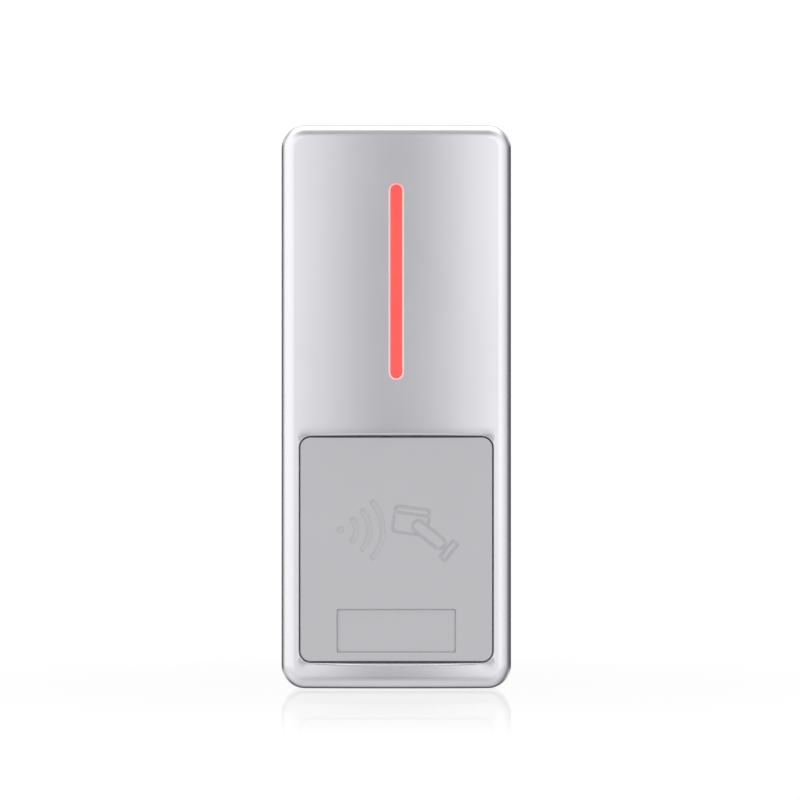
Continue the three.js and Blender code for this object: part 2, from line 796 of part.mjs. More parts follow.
const sealHeight = COVER.high - COVER.low - 1;
piece(
  reader,
  "cover_seal",
  frame(
    2 * COVER.halfWidth - 1,
    sealHeight,
    2.8,
    1.2,
    (COVER.high + COVER.low) / 2,
    COVER_FRONT - 0.15,
    LEDGE + 0.15,
  ),
  MATERIALS.clearSilicone,
);

COVER_SCREWS.forEach(([x, z], i) => {
  const screw = panScrew(x, z, 2.2, 1.3, 0.95, COVER_REAR + 0.1, 7);
  piece(reader, `cover_screw_${i + 1}`, screw, MATERIALS.stainlessSteel);
});

const gland = turned(
  [
    [3.4, -7.4],
    [7.5, -7.4],
    [7.5, COVER_FRONT - 0.1],
    [CABLE.coverRadius - FIT, COVER_FRONT - 0.1],
    [CABLE.coverRadius - FIT, COVER_REAR + 0.1],
    [6.9, COVER_REAR + 0.1],
    [6.5, -2.8],
    [3.4, -2.8],
    [3.4, -7.4],
  ],
  CABLE.x,
  CABLE.z,
);
piece(reader, "cable_gland", gland, MATERIALS.blackRubber);

piece(
  reader,
  "rating_label",
  slab(roundedRect(30, 16, 1, 0, -26), COVER_REAR + 0.35, COVER_REAR + 0.1, 1),
  MATERIALS.labelFilm,
);

// ---- Wall plate ----------------------------------------------------------------------------------

/** A strip of plate steel across X with square bends, along a route of [y, z] points. */
function bentStrip(route, bend, halfWidth) {
  const points = route.map(([y, z]) => new THREE.Vector2(y, z));
  const aside = (along) => new THREE.Vector2(-along.y, along.x);
  const heading = (i) => points[i + 1].clone().sub(points[i]).normalize();
  const side = (offset) => {
    const line = [points[0].clone().addScaledVector(aside(heading(0)), offset)];
    for (let i = 1; i < points.length - 1; i++) {
      const across = aside(heading(i - 1));
      const turn = Math.sign(heading(i - 1).cross(heading(i)));
      const centre = points[i]
        .clone()
        .addScaledVector(heading(i - 1), -bend)
        .addScaledVector(across, turn * bend);
      for (let k = 0; k <= ARC_STEPS; k++) {
        const angle = turn * (Math.PI / 2) * (k / ARC_STEPS);
        const normal = across.clone().rotateAround(new THREE.Vector2(), angle);
        line.push(centre.clone().addScaledVector(normal, offset - turn * bend));
      }
    }
    const last = points.length - 1;
    line.push(points[last].clone().addScaledVector(aside(heading(last - 1)), offset));
    return line;
  };
  const half = PLATE_THICKNESS / 2;
  const outline = new THREE.Shape(side(-half).concat(side(half).reverse()));
  // The outline is drawn in Y and Z, so the strip is turned to run across X.
  return new THREE.ExtrudeGeometry(outline, { depth: 2 * halfWidth, bevelEnabled: false })
    .rotateX(Math.PI / 2)
    .rotateZ(Math.PI / 2)
    .translate(-halfWidth, 0, 0);
}

function wallPlate() {
  const height = PLATE.high - PLATE.low;
  const middle = (PLATE.high + PLATE.low) / 2;
  const centreY = -PLATE_THICKNESS / 2;
  const sheet = slab(
    roundedRect(PLATE.width, height, PLATE.radius, 0, middle),
    0,
    -PLATE_THICKNESS,
  );
  const hook = bentStrip(
    [
      [centreY, 50],
      [centreY, HOOK.shelf],
      [HOOK.y, HOOK.shelf],
      [HOOK.y, HOOK.top],
    ],
    1,
    HOOK.halfWidth,
  );
  const tab = bentStrip(
    [
      [centreY, -50],
      [centreY, TAB.z],
      [TAB.front, TAB.z],
    ],
    1,
    TAB.halfWidth,
  );
  const wallSlots = [1, -1].map((side) =>
    slab(stadium(WALL_SLOT.width, WALL_SLOT.height, 0, side * WALL_SLOT.z), 1, -3),
  );
  const screwHole = new THREE.CylinderGeometry(1.8, 1.8, 6, SMALL_SIDES)
    .rotateX(Math.PI / 2)
    .translate(0, LOCK.y, TAB.z);
  return cut(
    join(sheet, hook, tab),
    ...wallSlots,
    rod(CABLE.plateRadius, 1, -3, CABLE.x, CABLE.z, ROUND_SIDES),
    rod(3.5, 1, -3, TAMPER.x, TAMPER.z, ROUND_SIDES),
    screwHole,
  );
}

piece(reader, "wall_plate", wallPlate(), MATERIALS.zincPlatedSteel);

const grommet = turned(
  [
    [5.4, -2.3],
    [8, -2.3],
    [8, -PLATE_THICKNESS - 0.2],
    [CABLE.plateRadius - FIT, -PLATE_THICKNESS - 0.2],
    [CABLE.plateRadius - FIT, -0.1],
    [5.4, -0.1],
    [5.4, -2.3],
  ],
  CABLE.x,
  CABLE.z,
);
piece(reader, "cable_grommet", grommet, MATERIALS.blackRubber);

const NUT_LOW = TAB.z + PLATE_THICKNESS / 2 + 0.1;
const nut = turnedUpright(
  [
    [1.65, NUT_LOW],
    [2.75, NUT_LOW],
    [2.75, NUT_LOW + 1.6],
    [1.65, NUT_LOW + 1.6],
    [1.65, NUT_LOW],
  ],
  0,
  LOCK.y,
);
piece(reader, "plate_nut", nut, MATERIALS.stainlessSteel);

// ---- Lock screw ----------------------------------------------------------------------------------

const WASHER_TOP = LOCK_WEB_LOW - 0.2;
const washer = turnedUpright(
  [
    [1.65, WASHER_TOP - LOCK.washer],
    [3.1, WASHER_TOP - LOCK.washer],
    [3.1, WASHER_TOP],
    [1.65, WASHER_TOP],
    [1.65, WASHER_TOP - LOCK.washer],
  ],
  0,
  LOCK.y,
);
piece(reader, "lock_washer", washer, MATERIALS.creamNylon);

const HEAD_TOP = WASHER_TOP - LOCK.washer - 0.1;
const HEAD_LOW = HEAD_TOP - LOCK.head;
const lockScrewBody = turnedUpright(
  [
    [0, HEAD_LOW],
    [1.9, HEAD_LOW],
    [2.8, HEAD_LOW + 0.8],
    [2.8, HEAD_TOP],
    [1.4, HEAD_TOP],
    [1.4, HEAD_TOP + 5.3],
    [1.1, HEAD_TOP + 5.8],
    [0, HEAD_TOP + 5.8],
  ],
  0,
  LOCK.y,
);
const driveSocket = new THREE.CylinderGeometry(1.25, 1.25, 2, 6)
  .rotateX(Math.PI / 2)
  .translate(0, LOCK.y, HEAD_LOW + 0.1);
piece(reader, "lock_screw", cut(lockScrewBody, driveSocket), MATERIALS.stainlessSteel);

export default reader;
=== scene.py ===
"""Visual model of a wall-mounted card reader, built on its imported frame.

Sizes are millimetres in the classes and metres in the finished meshes. X runs across the reader,
Y runs into the wall and Z runs up. The wall is the plane y = 0 and the front faces -Y.
"""

import json
import logging
import math
from dataclasses import dataclass
from enum import Enum
from typing import Callable, Iterable, Sequence

import bmesh
import bpy
from mathutils import Matrix, Vector


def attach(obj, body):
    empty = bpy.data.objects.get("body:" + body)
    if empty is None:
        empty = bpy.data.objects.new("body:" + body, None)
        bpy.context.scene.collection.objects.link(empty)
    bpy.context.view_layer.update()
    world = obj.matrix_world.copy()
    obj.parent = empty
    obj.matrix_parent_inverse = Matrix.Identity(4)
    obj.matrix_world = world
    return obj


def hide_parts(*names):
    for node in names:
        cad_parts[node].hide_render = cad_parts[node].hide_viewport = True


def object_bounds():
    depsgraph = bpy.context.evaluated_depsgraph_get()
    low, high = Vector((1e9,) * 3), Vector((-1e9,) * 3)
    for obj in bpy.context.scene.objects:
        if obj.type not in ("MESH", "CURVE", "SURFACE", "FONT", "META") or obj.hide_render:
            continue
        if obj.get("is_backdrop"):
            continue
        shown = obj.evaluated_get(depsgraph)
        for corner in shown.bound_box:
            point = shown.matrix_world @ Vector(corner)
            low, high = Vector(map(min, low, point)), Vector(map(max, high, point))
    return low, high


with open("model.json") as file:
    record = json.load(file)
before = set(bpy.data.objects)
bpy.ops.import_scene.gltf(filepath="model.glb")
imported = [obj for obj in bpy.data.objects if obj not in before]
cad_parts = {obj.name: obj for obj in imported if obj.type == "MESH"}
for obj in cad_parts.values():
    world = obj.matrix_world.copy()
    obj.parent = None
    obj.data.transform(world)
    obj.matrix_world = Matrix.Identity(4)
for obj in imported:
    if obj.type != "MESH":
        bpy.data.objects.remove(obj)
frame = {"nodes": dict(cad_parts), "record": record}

MM = 0.001
Outline = list[tuple[float, float]]
Colour = tuple[float, float, float]
Profile = Sequence[tuple[float, float]]
Solid = bmesh.types.BMesh
Edge = bmesh.types.BMEdge
Socket = bpy.types.NodeSocket

log = logging.getLogger("card_reader")


# ---- Shaping ----


class Axis(Enum):
    """The directions that a turned piece can stand in."""

    INTO_WALL = "y"
    UPRIGHT = "z"


def smoothstep(value: float) -> float:
    """A smooth rise from 0 to 1."""
    t = min(max(value, 0.0), 1.0)
    return t * t * (3 - 2 * t)


def rounded_outline(
    width: float, height: float, radius: float, steps: int = 8, x: float = 0.0, z: float = 0.0
) -> Outline:
    """Points round a rounded rectangle, anticlockwise as seen from the front.

    Args:
        width: Size across.
        height: Size upright.
        radius: Corner radius.
        steps: Divisions of each corner.
        x: Middle across.
        z: Middle upright.

    Returns:
        The points as (x, z).
    """
    right, top = width / 2 - radius, height / 2 - radius
    corners = ((right, top), (-right, top), (-right, -top), (right, -top))
    points = []
    for quarter, (corner_x, corner_z) in enumerate(corners):
        for i in range(steps + 1):
            turn = math.pi / 2 * (quarter + i / steps)
            points.append(
                (x + corner_x + radius * math.cos(turn), z + corner_z + radius * math.sin(turn))
            )
    return points


def stadium_outline(
    width: float, height: float, steps: int = 12, x: float = 0.0, z: float = 0.0
) -> Outline:
    """Points round an upright slot with round ends.

    Args:
        width: Size across.
        height: Size upright.
        steps: Divisions of each end.
        x: Middle across.
        z: Middle upright.

    Returns:
        The points as (x, z).
    """
    straight = (height - width) / 2
    points = []
    for half in range(2):
        for i in range(steps + 1):
            turn = math.pi * (half + i / steps)
            end = straight if half == 0 else -straight
            points.append(
                (x + width / 2 * math.cos(turn), z + end + width / 2 * math.sin(turn))
            )
    return points


def circle_outline(radius: float, sides: int = 48, x: float = 0.0, z: float = 0.0) -> Outline:
    """Points round a circle."""
    turns = [2 * math.pi * i / sides for i in range(sides)]
    return [(x + radius * math.cos(t), z + radius * math.sin(t)) for t in turns]


def loft(rings: Sequence[Sequence[Vector]], closed: bool = False) -> Solid:
    """Skins a row of rings of equal length.

    Args:
        rings: The rings, each a list of points.
        closed: Whether the last ring joins the first instead of both ends being capped.

    Returns:
        A closed mesh with its faces pointing out.
    """
    bm = bmesh.new()
    rows = [[bm.verts.new(point) for point in ring] for ring in rings]
    pairs = list(zip(rows, rows[1:])) + ([(rows[-1], rows[0])] if closed else [])
    for low, high in pairs:
        for i in range(len(low)):
            j = (i + 1) % len(low)
            bm.faces.new((low[i], low[j], high[j], high[i]))
    if not closed:
        bm.faces.new(rows[0])
        bm.faces.new(rows[-1])
    bmesh.ops.recalc_face_normals(bm, faces=bm.faces)
    return bm


def ring_at(outline: Outline, y: float) -> list[Vector]:
    """The outline as points at one depth."""
    return [Vector((x, y, z)) for x, z in outline]


def prism(outline: Outline, rear: float, front: float) -> Solid:
    """An outline given thickness from its front to its rear."""
    return loft([ring_at(outline, rear), ring_at(outline, front)])


def block(
    across: tuple[float, float], deep: tuple[float, float], high: tuple[float, float]
) -> Solid:
    """A block between two corners, as a cutting tool or blank."""
    (x0, x1), (z0, z1) = across, high
    return prism([(x0, z0), (x1, z0), (x1, z1), (x0, z1)], max(deep), min(deep))


@dataclass(frozen=True)
class Thread:
    """A screw thread cut into a turned piece.

    Attributes:
        low: The level where it starts.
        high: The level where it ends.
        pitch: The rise in one turn.
        depth: How deep it is cut.
    """

    low: float
    high: float
    pitch: float
    depth: float

    def levels(self) -> list[float]:
        """The levels that a profile needs along the thread."""
        count = max(round((self.high - self.low) / self.pitch * 4), 2)
        return [self.low + (self.high - self.low) * i / count for i in range(count + 1)]

    def cut_at(self, level: float, turn: float) -> float:
        """How deep the thread is cut at a level and a turn in radians.

        Args:
            level: The level along the axis.
            turn: The turn round it.

        Returns:
            The depth.
        """
        if not self.low <= level <= self.high:
            return 0.0
        phase = (level - self.low) / self.pitch - turn / (2 * math.pi)
        runout = min(level - self.low, self.high - level) / self.pitch + 0.3
        return self.depth * abs(2 * (phase - math.floor(phase)) - 1) * min(runout, 1.0)


def turned(
    profile: Profile,
    centre: tuple[float, float],
    axis: Axis = Axis.INTO_WALL,
    sides: int = 48,
    closed: bool = False,
    thread: Thread | None = None,
) -> Solid:
    """A piece turned about an axis.

    Args:
        profile: The [radius, level] points from one end to the other.
        centre: Where the axis stands: (x, z) for INTO_WALL, (x, y) for UPRIGHT.
        axis: The direction of the axis.
        sides: Divisions round the axis.
        closed: Whether the profile is a loop, as in a ring.
        thread: A thread cut into it.

    Returns:
        The closed mesh.
    """
    rings = []
    for radius, level in profile:
        ring = []
        for i in range(sides):
            turn = 2 * math.pi * i / sides
            reach = max(radius - (thread.cut_at(level, turn) if thread else 0.0), 1e-3)
            a = centre[0] + reach * math.cos(turn)
            b = centre[1] + reach * math.sin(turn)
            ring.append(Vector((a, level, b) if axis is Axis.INTO_WALL else (a, b, level)))
        rings.append(ring)
    return loft(rings, closed=closed)


def ribbon(path: Sequence[tuple[float, float]], thickness: float) -> Outline:
    """The outline of a line of even thickness drawn along a path.

    Args:
        path: The line's points.
        thickness: How wide the line is.

    Returns:
        The closed outline.
    """
    sides: tuple[Outline, Outline] = ([], [])
    for i, (a, b) in enumerate(path):
        before, after = path[max(i - 1, 0)], path[min(i + 1, len(path) - 1)]
        first = Vector((a - before[0], b - before[1]))
        second = Vector((after[0] - a, after[1] - b))
        first, second = (first or second).normalized(), (second or first).normalized()
        mean = (first + second).normalized()
        reach = thickness / 2 / max(mean.dot(first), 0.3)
        sides[0].append((a - mean.y * reach, b + mean.x * reach))
        sides[1].append((a + mean.y * reach, b - mean.x * reach))
    return sides[0] + sides[1][::-1]


def extruded(
    outline: Outline, low: float, high: float, place: Callable[[float, float, float], Vector]
) -> Solid:
    """An outline given a width, with its own way of turning (a, b, width) into a point."""
    return loft([[place(a, b, level) for a, b in outline] for level in (low, high)])


def band(
    width: float, height: float, radius: float, section: Sequence[tuple[float, float]], z: float
) -> Solid:
    """A rounded rectangular ring.

    Args:
        width: Its outer size across.
        height: Its outer size upright.
        radius: Its outer corner radius.
        section: The [inset, y] points round its section.
        z: Its middle upright.

    Returns:
        The closed mesh.
    """
    rings = []
    for inset, y in section:
        size = (width - 2 * inset, height - 2 * inset, max(radius - inset, 0.05))
        rings.append(ring_at(rounded_outline(*size, z=z), y))
    return loft(rings, closed=True)


def merged(*parts: Solid) -> Solid:
    """Several meshes as one, each part staying a body of its own.

    Args:
        *parts: The meshes, which are used up.

    Returns:
        The mesh that holds them all.
    """
    whole = bmesh.new()
    for part in parts:
        mesh = bpy.data.meshes.new("part")
        part.to_mesh(mesh)
        part.free()
        whole.from_mesh(mesh)
        bpy.data.meshes.remove(mesh)
    return whole


class Joining(Enum):
    """The ways that two solids can be joined."""

    CUT = "DIFFERENCE"
    ADD = "UNION"


def _loose_object(bm: Solid) -> bpy.types.Object:
    """A mesh as an object of its own in the scene.

    Args:
        bm: The mesh, which is used up.

    Returns:
        The object.
    """
    mesh = bpy.data.meshes.new("tool")
    bm.to_mesh(mesh)
    bm.free()
    made = bpy.data.objects.new("tool", mesh)
    bpy.context.scene.collection.objects.link(made)
    return made


def combine(
    body: Solid, tools: Iterable[Solid], how: Joining
) -> Solid:
    """Cuts solids out of a body or adds them to it.

    Args:
        body: The body; it is used up.
        tools: The solids; they are used up.
        how: Whether the tools are cut out or added.

    Returns:
        What comes of it.
    """
    worked = _loose_object(body)
    helpers = [_loose_object(tool) for tool in tools]
    for helper in helpers:
        step = worked.modifiers.new("step", "BOOLEAN")
        step.operation = how.value
        step.solver = "EXACT"
        step.object = helper
    done = worked.evaluated_get(bpy.context.evaluated_depsgraph_get())
    result = bmesh.new()
    result.from_mesh(done.to_mesh())
    for used in [worked, *helpers]:
        mesh = used.data
        bpy.data.objects.remove(used)
        bpy.data.meshes.remove(mesh)
    return result


def round_edges(
    bm: Solid,
    chosen: Callable[[Edge], bool],
    radius: float,
    segments: int = 3,
) -> None:
    """Rounds the chosen edges.

    Args:
        bm: The mesh.
        chosen: Whether an edge is rounded.
        radius: How far the rounding reaches from the edge.
        segments: Divisions of the rounding.
    """
    edges = [edge for edge in bm.edges if chosen(edge)]
    bmesh.ops.bevel(
        bm,
        geom=edges,
        offset=radius,
        segments=segments,
        profile=0.5,
        affect="EDGES",
        clamp_overlap=True,
    )


def sharp(angle: float) -> Callable[[Edge], bool]:
    """A choice of the outer edges that turn by more than an angle in degrees.

    Args:
        angle: The least turn that counts.

    Returns:
        The test that an edge is put to.
    """
    limit = math.radians(angle)

    def chosen(edge: Edge) -> bool:
        """Whether the edge turns outwards by more than the limit."""
        return edge.is_manifold and edge.is_convex and edge.calc_face_angle(0) > limit

    return chosen


def eased(bm: Solid, radius: float, angle: float = 40.0) -> Solid:
    """The mesh with its outer edges lightly rounded."""
    round_edges(bm, sharp(angle), radius, 2)
    return bm


def slice_across(bm: Solid, axis: str, levels: Iterable[float]) -> None:
    """Adds edges where planes across an axis pass through the mesh.

    Args:
        bm: The mesh.
        axis: "x", "y" or "z".
        levels: Where the planes stand.
    """
    normal = Vector([float(axis == name) for name in "xyz"])
    for level in levels:
        geom = list(bm.verts) + list(bm.edges) + list(bm.faces)
        bmesh.ops.bisect_plane(bm, geom=geom, dist=1e-5, plane_co=normal * level, plane_no=normal)


def swept(
    path: Sequence[Vector], radius: float, sides: int = 8, closed: bool = False
) -> Solid:
    """A round wire along a path.

    Args:
        path: The points on its middle line.
        radius: The wire's radius.
        sides: Divisions round the wire.
        closed: Whether the path is a loop.

    Returns:
        The closed mesh.
    """
    count = len(path)
    rings = []
    across = Vector((0, 1, 0))
    for i, point in enumerate(path):
        ahead = path[(i + 1) % count] if closed or i < count - 1 else point
        behind = path[i - 1] if closed or i > 0 else point
        along = (ahead - behind).normalized()
        across = (across - along * across.dot(along)).normalized()
        aside = along.cross(across)
        turns = [2 * math.pi * k / sides for k in range(sides)]
        rings.append(
            [point + radius * (across * math.cos(t) + aside * math.sin(t)) for t in turns]
        )
    return loft(rings, closed=closed)


# ---- Finishes ----


class Wiring:
    """A node tree with short ways to add and join its nodes."""

    def __init__(self, tree: bpy.types.NodeTree) -> None:
        """Takes the tree that is worked on."""
        self.tree = tree

    def add(
        self, kind: str, feeds: dict[str | int, object] | None = None, **settings: object
    ) -> bpy.types.Node:
        """Adds a node.

        Args:
            kind: The node's type.
            feeds: What each of its inputs gets: a value, or the socket of another node.
            settings: The node's own settings.

        Returns:
            The node.
        """
        node = self.tree.nodes.new(kind)
        for name, value in settings.items():
            setattr(node, name, value)
        for socket, value in (feeds or {}).items():
            self.feed(node.inputs[socket], value)
        return node

    def feed(self, socket: Socket, value: object) -> None:
        """Gives an input a value or a link.

        Args:
            socket: The input.
            value: A plain value, or the socket to link.
        """
        if isinstance(value, Socket):
            self.tree.links.new(value, socket)
        else:
            socket.default_value = value

    def sum(self, how: str, *values: object) -> Socket:
        """The result of a math node, such as ADD or MULTIPLY, on values or sockets."""
        node = self.add("ShaderNodeMath", dict(enumerate(values)), operation=how)
        return node.outputs[0]

    def spread(
        self, value: Socket, low: float, high: float, to: tuple[float, float] = (0, 1)
    ) -> Socket:
        """The value mapped smoothly from low..high onto another range.

        Args:
            value: The value.
            low: Where the slope starts.
            high: Where it ends.
            to: The results at both ends.

        Returns:
            The mapped value.
        """
        feeds = {"Value": value, "From Min": low, "From Max": high, "To Min": to[0], "To Max": to[1]}
        node = self.add("ShaderNodeMapRange", feeds, interpolation_type="SMOOTHSTEP")
        return node.outputs["Result"]

    def blend(
        self, amount: object, low: object, high: object, how: str = "MIX"
    ) -> Socket:
        """The mix of two colours.

        Args:
            amount: The share of the second.
            low: The first colour.
            high: The second colour.
            how: The way they are mixed.

        Returns:
            The mixed colour.
        """
        feeds = {"Factor": amount, 6: low, 7: high}
        node = self.add("ShaderNodeMix", feeds, data_type="RGBA", blend_type=how)
        return node.outputs[2]

    def noise(
        self, scale: object, detail: float = 2.0, stretch: Sequence[float] = (1, 1, 1)
    ) -> Socket:
        """The value of a noise that is fixed to the piece, with a scale in features per metre.

        Args:
            scale: Features per metre.
            detail: How many finer layers it has.
            stretch: The scale along each axis.

        Returns:
            The value, from 0 to 1.
        """
        place = self.add("ShaderNodeTexCoord").outputs["Object"]
        mapped = self.add("ShaderNodeMapping", {"Vector": place, "Scale": stretch})
        feeds = {"Vector": mapped.outputs[0], "Scale": scale, "Detail": detail}
        return self.add("ShaderNodeTexNoise", feeds).outputs["Fac"]


class Effect(Enum):
    """The shared surface effects."""

    GRAIN = "Fine grain"
    BRUSHING = "Brushing"
    MOTTLE = "Mottle"
    EDGE_WEAR = "Edge wear"
    DUST = "Dust"
    HOLLOW_SHADE = "Hollows"


class EffectStore:
    """Builds each shared effect's node group once, and hands it out."""

    def __init__(self) -> None:
        """Starts with no group built."""
        self._built: dict[Effect, bpy.types.NodeTree] = {}

    def get(self, effect: Effect) -> bpy.types.NodeTree:
        """The effect's group.

        Args:
            effect: The effect.

        Returns:
            Its node group.
        """
        if effect not in self._built:
            makers = {
                Effect.GRAIN: self._grain,
                Effect.BRUSHING: self._brushing,
                Effect.MOTTLE: self._mottle,
                Effect.EDGE_WEAR: self._edge_wear,
                Effect.DUST: self._dust,
                Effect.HOLLOW_SHADE: self._painted_hollow_shade,
            }
            self._built[effect] = makers[effect]()
        return self._built[effect]

    @staticmethod
    def _group(
        effect: Effect, inputs: dict[str, float], output: str
    ) -> tuple[Wiring, bpy.types.Node, bpy.types.Node]:
        """Starts a group.

        Args:
            effect: The effect, which names the group.
            inputs: The names and default values of what goes in.
            output: The name of the mask that comes out.

        Returns:
            The wiring, and the nodes where the inputs start and the output ends.
        """
        tree = bpy.data.node_groups.new(effect.value, "ShaderNodeTree")
        for name, value in inputs.items():
            socket = tree.interface.new_socket(name, in_out="INPUT", socket_type="NodeSocketFloat")
            socket.default_value = value
        tree.interface.new_socket(output, in_out="OUTPUT", socket_type="NodeSocketFloat")
        wiring = Wiring(tree)
        return wiring, wiring.add("NodeGroupInput"), wiring.add("NodeGroupOutput")

    def _grain(self) -> bpy.types.NodeTree:
        """The pebbling of a moulding or a sprayed coat.

        Returns:
            The node group.
        """
        wiring, start, end = self._group(Effect.GRAIN, {"Scale": 3000.0}, "Height")
        fine = wiring.noise(start.outputs["Scale"], detail=1.0)
        wiring.feed(end.inputs["Height"], wiring.spread(fine, 0.3, 0.7))
        return wiring.tree

    def _brushing(self) -> bpy.types.NodeTree:
        """The upright lines of rolled or brushed metal.

        Returns:
            The node group.
        """
        wiring, start, end = self._group(Effect.BRUSHING, {"Scale": 2500.0}, "Height")
        lines = wiring.noise(start.outputs["Scale"], detail=3.0, stretch=(1, 1, 0.02))
        wiring.feed(end.inputs["Height"], wiring.spread(lines, 0.25, 0.75))
        return wiring.tree

    def _mottle(self) -> bpy.types.NodeTree:
        """Slow drifts of tone over a surface.

        Returns:
            The node group.
        """
        wiring, start, end = self._group(Effect.MOTTLE, {"Scale": 60.0}, "Value")
        wiring.feed(end.inputs["Value"], wiring.noise(start.outputs["Scale"], detail=3.0))
        return wiring.tree

    def _edge_wear(self) -> bpy.types.NodeTree:
        """Patchy rubbing along the edges.

        Returns:
            The node group.
        """
        wiring, start, end = self._group(Effect.EDGE_WEAR, {"Radius": 0.0004, "Scale": 900.0}, "Mask")
        rounded = wiring.add("ShaderNodeBevel", {"Radius": start.outputs["Radius"]}, samples=4)
        plain = wiring.add("ShaderNodeNewGeometry").outputs["Normal"]
        turn = wiring.add(
            "ShaderNodeVectorMath", {0: rounded.outputs[0], 1: plain}, operation="DOT_PRODUCT"
        )
        edge = wiring.spread(turn.outputs["Value"], 0.98, 0.8)
        patches = wiring.spread(wiring.noise(start.outputs["Scale"], detail=4.0), 0.4, 0.65)
        wiring.feed(end.inputs["Mask"], wiring.sum("MULTIPLY", edge, patches))
        return wiring.tree

    def _dust(self) -> bpy.types.NodeTree:
        """Fine dust on what faces up.

        Returns:
            The node group.
        """
        wiring, start, end = self._group(Effect.DUST, {"Scale": 400.0}, "Mask")
        normal = wiring.add("ShaderNodeNewGeometry").outputs["Normal"]
        upward = wiring.add("ShaderNodeSeparateXYZ", {0: normal}).outputs["Z"]
        specks = wiring.spread(wiring.noise(start.outputs["Scale"], detail=5.0), 0.35, 0.75)
        facing = wiring.spread(upward, 0.3, 0.95)
        wiring.feed(end.inputs["Mask"], wiring.sum("MULTIPLY", specks, facing))
        return wiring.tree

    def _painted_hollow_shade(self) -> bpy.types.NodeTree:
        """Painted shade: a mask for narrow places that light hardly reaches.

        Returns:
            The node group.
        """
        wiring, start, end = self._group(Effect.HOLLOW_SHADE, {"Reach": 0.0007}, "Mask")
        open_sky = wiring.add(
            "ShaderNodeAmbientOcclusion", {"Distance": start.outputs["Reach"]}, samples=6
        )
        wiring.feed(end.inputs["Mask"], wiring.spread(open_sky.outputs["AO"], 1.0, 0.45))
        return wiring.tree


EFFECTS = EffectStore()


class Surface(Wiring):
    """One material: its principled shader and what feeds it."""

    def __init__(self, name: str) -> None:
        """Starts a material of that name.

        Args:
            name: The material's name.
        """
        self.material = bpy.data.materials.new(name)
        self.material.use_nodes = True
        super().__init__(self.material.node_tree)
        self.shader = self.tree.nodes["Principled BSDF"]

    def set(self, **values: object) -> None:
        """Sets the shader's inputs, with underscores for the spaces in their names."""
        for name, value in values.items():
            self.feed(self.shader.inputs[name.replace("_", " ")], value)

    def effect(self, effect: Effect, **values: float) -> Socket:
        """The output of a shared effect with its own values.

        Args:
            effect: The effect.
            **values: Values for its inputs.

        Returns:
            The effect's output.
        """
        node = self.add("ShaderNodeGroup", node_tree=EFFECTS.get(effect))
        for name, value in values.items():
            node.inputs[name.replace("_", " ")].default_value = value
        return node.outputs[0]

    def bump(self, height: Socket, distance: float, strength: float = 1.0) -> None:
        """Raises the surface by a height of up to that many metres."""
        feeds = {"Height": height, "Distance": distance, "Strength": strength}
        self.set(Normal=self.add("ShaderNodeBump", feeds).outputs[0])


def tone(colour: Colour, by: float = 1.0) -> tuple[float, float, float, float]:
    """A colour, lighter or darker by a factor, as a socket's value."""
    return tuple(min(part * by, 1.0) for part in colour) + (1.0,)


@dataclass(frozen=True)
class Finish:
    """What every finish has.

    Attributes:
        name: The material's name.
        colour: Its linear base colour.
        roughness: How matt it is.
    """

    name: str
    colour: Colour
    roughness: float

    def start(self) -> Surface:
        """A surface with the plain values set.

        Returns:
            The surface.
        """
        surface = Surface(self.name)
        surface.set(Base_Color=tone(self.colour), Roughness=self.roughness)
        return surface

    def material(self) -> bpy.types.Material:
        """The finished material."""
        return self.start().material


@dataclass(frozen=True)
class SilverLacquer(Finish):
    """Metallic lacquer on a casting, with fine flakes under a thin clear coat."""

    metal: float = 0.9
    flake_scale: float = 9000.0

    def material(self) -> bpy.types.Material:
        """The finished material.

        Returns:
            The material.
        """
        surface = self.start()
        flakes = surface.effect(Effect.GRAIN, Scale=self.flake_scale)
        drift = surface.effect(Effect.MOTTLE, Scale=35.0)
        surface.set(
            Metallic=self.metal,
            Coat_Weight=0.12,
            Coat_Roughness=0.25,
            Base_Color=surface.blend(flakes, tone(self.colour, 0.97), tone(self.colour, 1.03)),
            Roughness=surface.spread(
                drift, 0.3, 0.7, (self.roughness - 0.012, self.roughness + 0.012)
            ),
        )
        surface.bump(flakes, 1.2e-6)
        return surface.material


@dataclass(frozen=True)
class Moulding(Finish):
    """Moulded plastic or rubber with a spark-eroded grain, a little dust on top, and painted shade in its
    narrow hollows.

    Attributes:
        grain_scale: Pebbles per metre.
        grain_height: Their height in metres.
        dust: How much dust lies on what faces up.
        shine: The specular level.
        hollow_shade_tone: How dark the painted shade in narrow hollows is beside the colour.
    """

    grain_scale: float = 3500.0
    grain_height: float = 4e-6
    dust: float = 0.15
    shine: float = 0.5
    hollow_shade_tone: float = 0.5

    def material(self) -> bpy.types.Material:
        """The finished material.

        Returns:
            The material.
        """
        surface = self.start()
        grain = surface.effect(Effect.GRAIN, Scale=self.grain_scale)
        drift = surface.effect(Effect.MOTTLE, Scale=45.0)
        dust = surface.sum("MULTIPLY", surface.effect(Effect.DUST, Scale=700.0), self.dust)
        body = surface.blend(drift, tone(self.colour, 0.97), tone(self.colour, 1.03))
        # Painted shade: the colour darkens where ambient occlusion finds narrow hollows.
        painted_shade = surface.effect(Effect.HOLLOW_SHADE)
        body = surface.blend(painted_shade, body, tone(self.colour, self.hollow_shade_tone))
        spread = (self.roughness - 0.04, self.roughness + 0.04)
        surface.set(
            Specular_IOR_Level=self.shine,
            Base_Color=surface.blend(dust, body, tone((0.5, 0.48, 0.44))),
            Roughness=surface.spread(grain, 0.0, 1.0, spread),
        )
        surface.bump(grain, self.grain_height)
        return surface.material


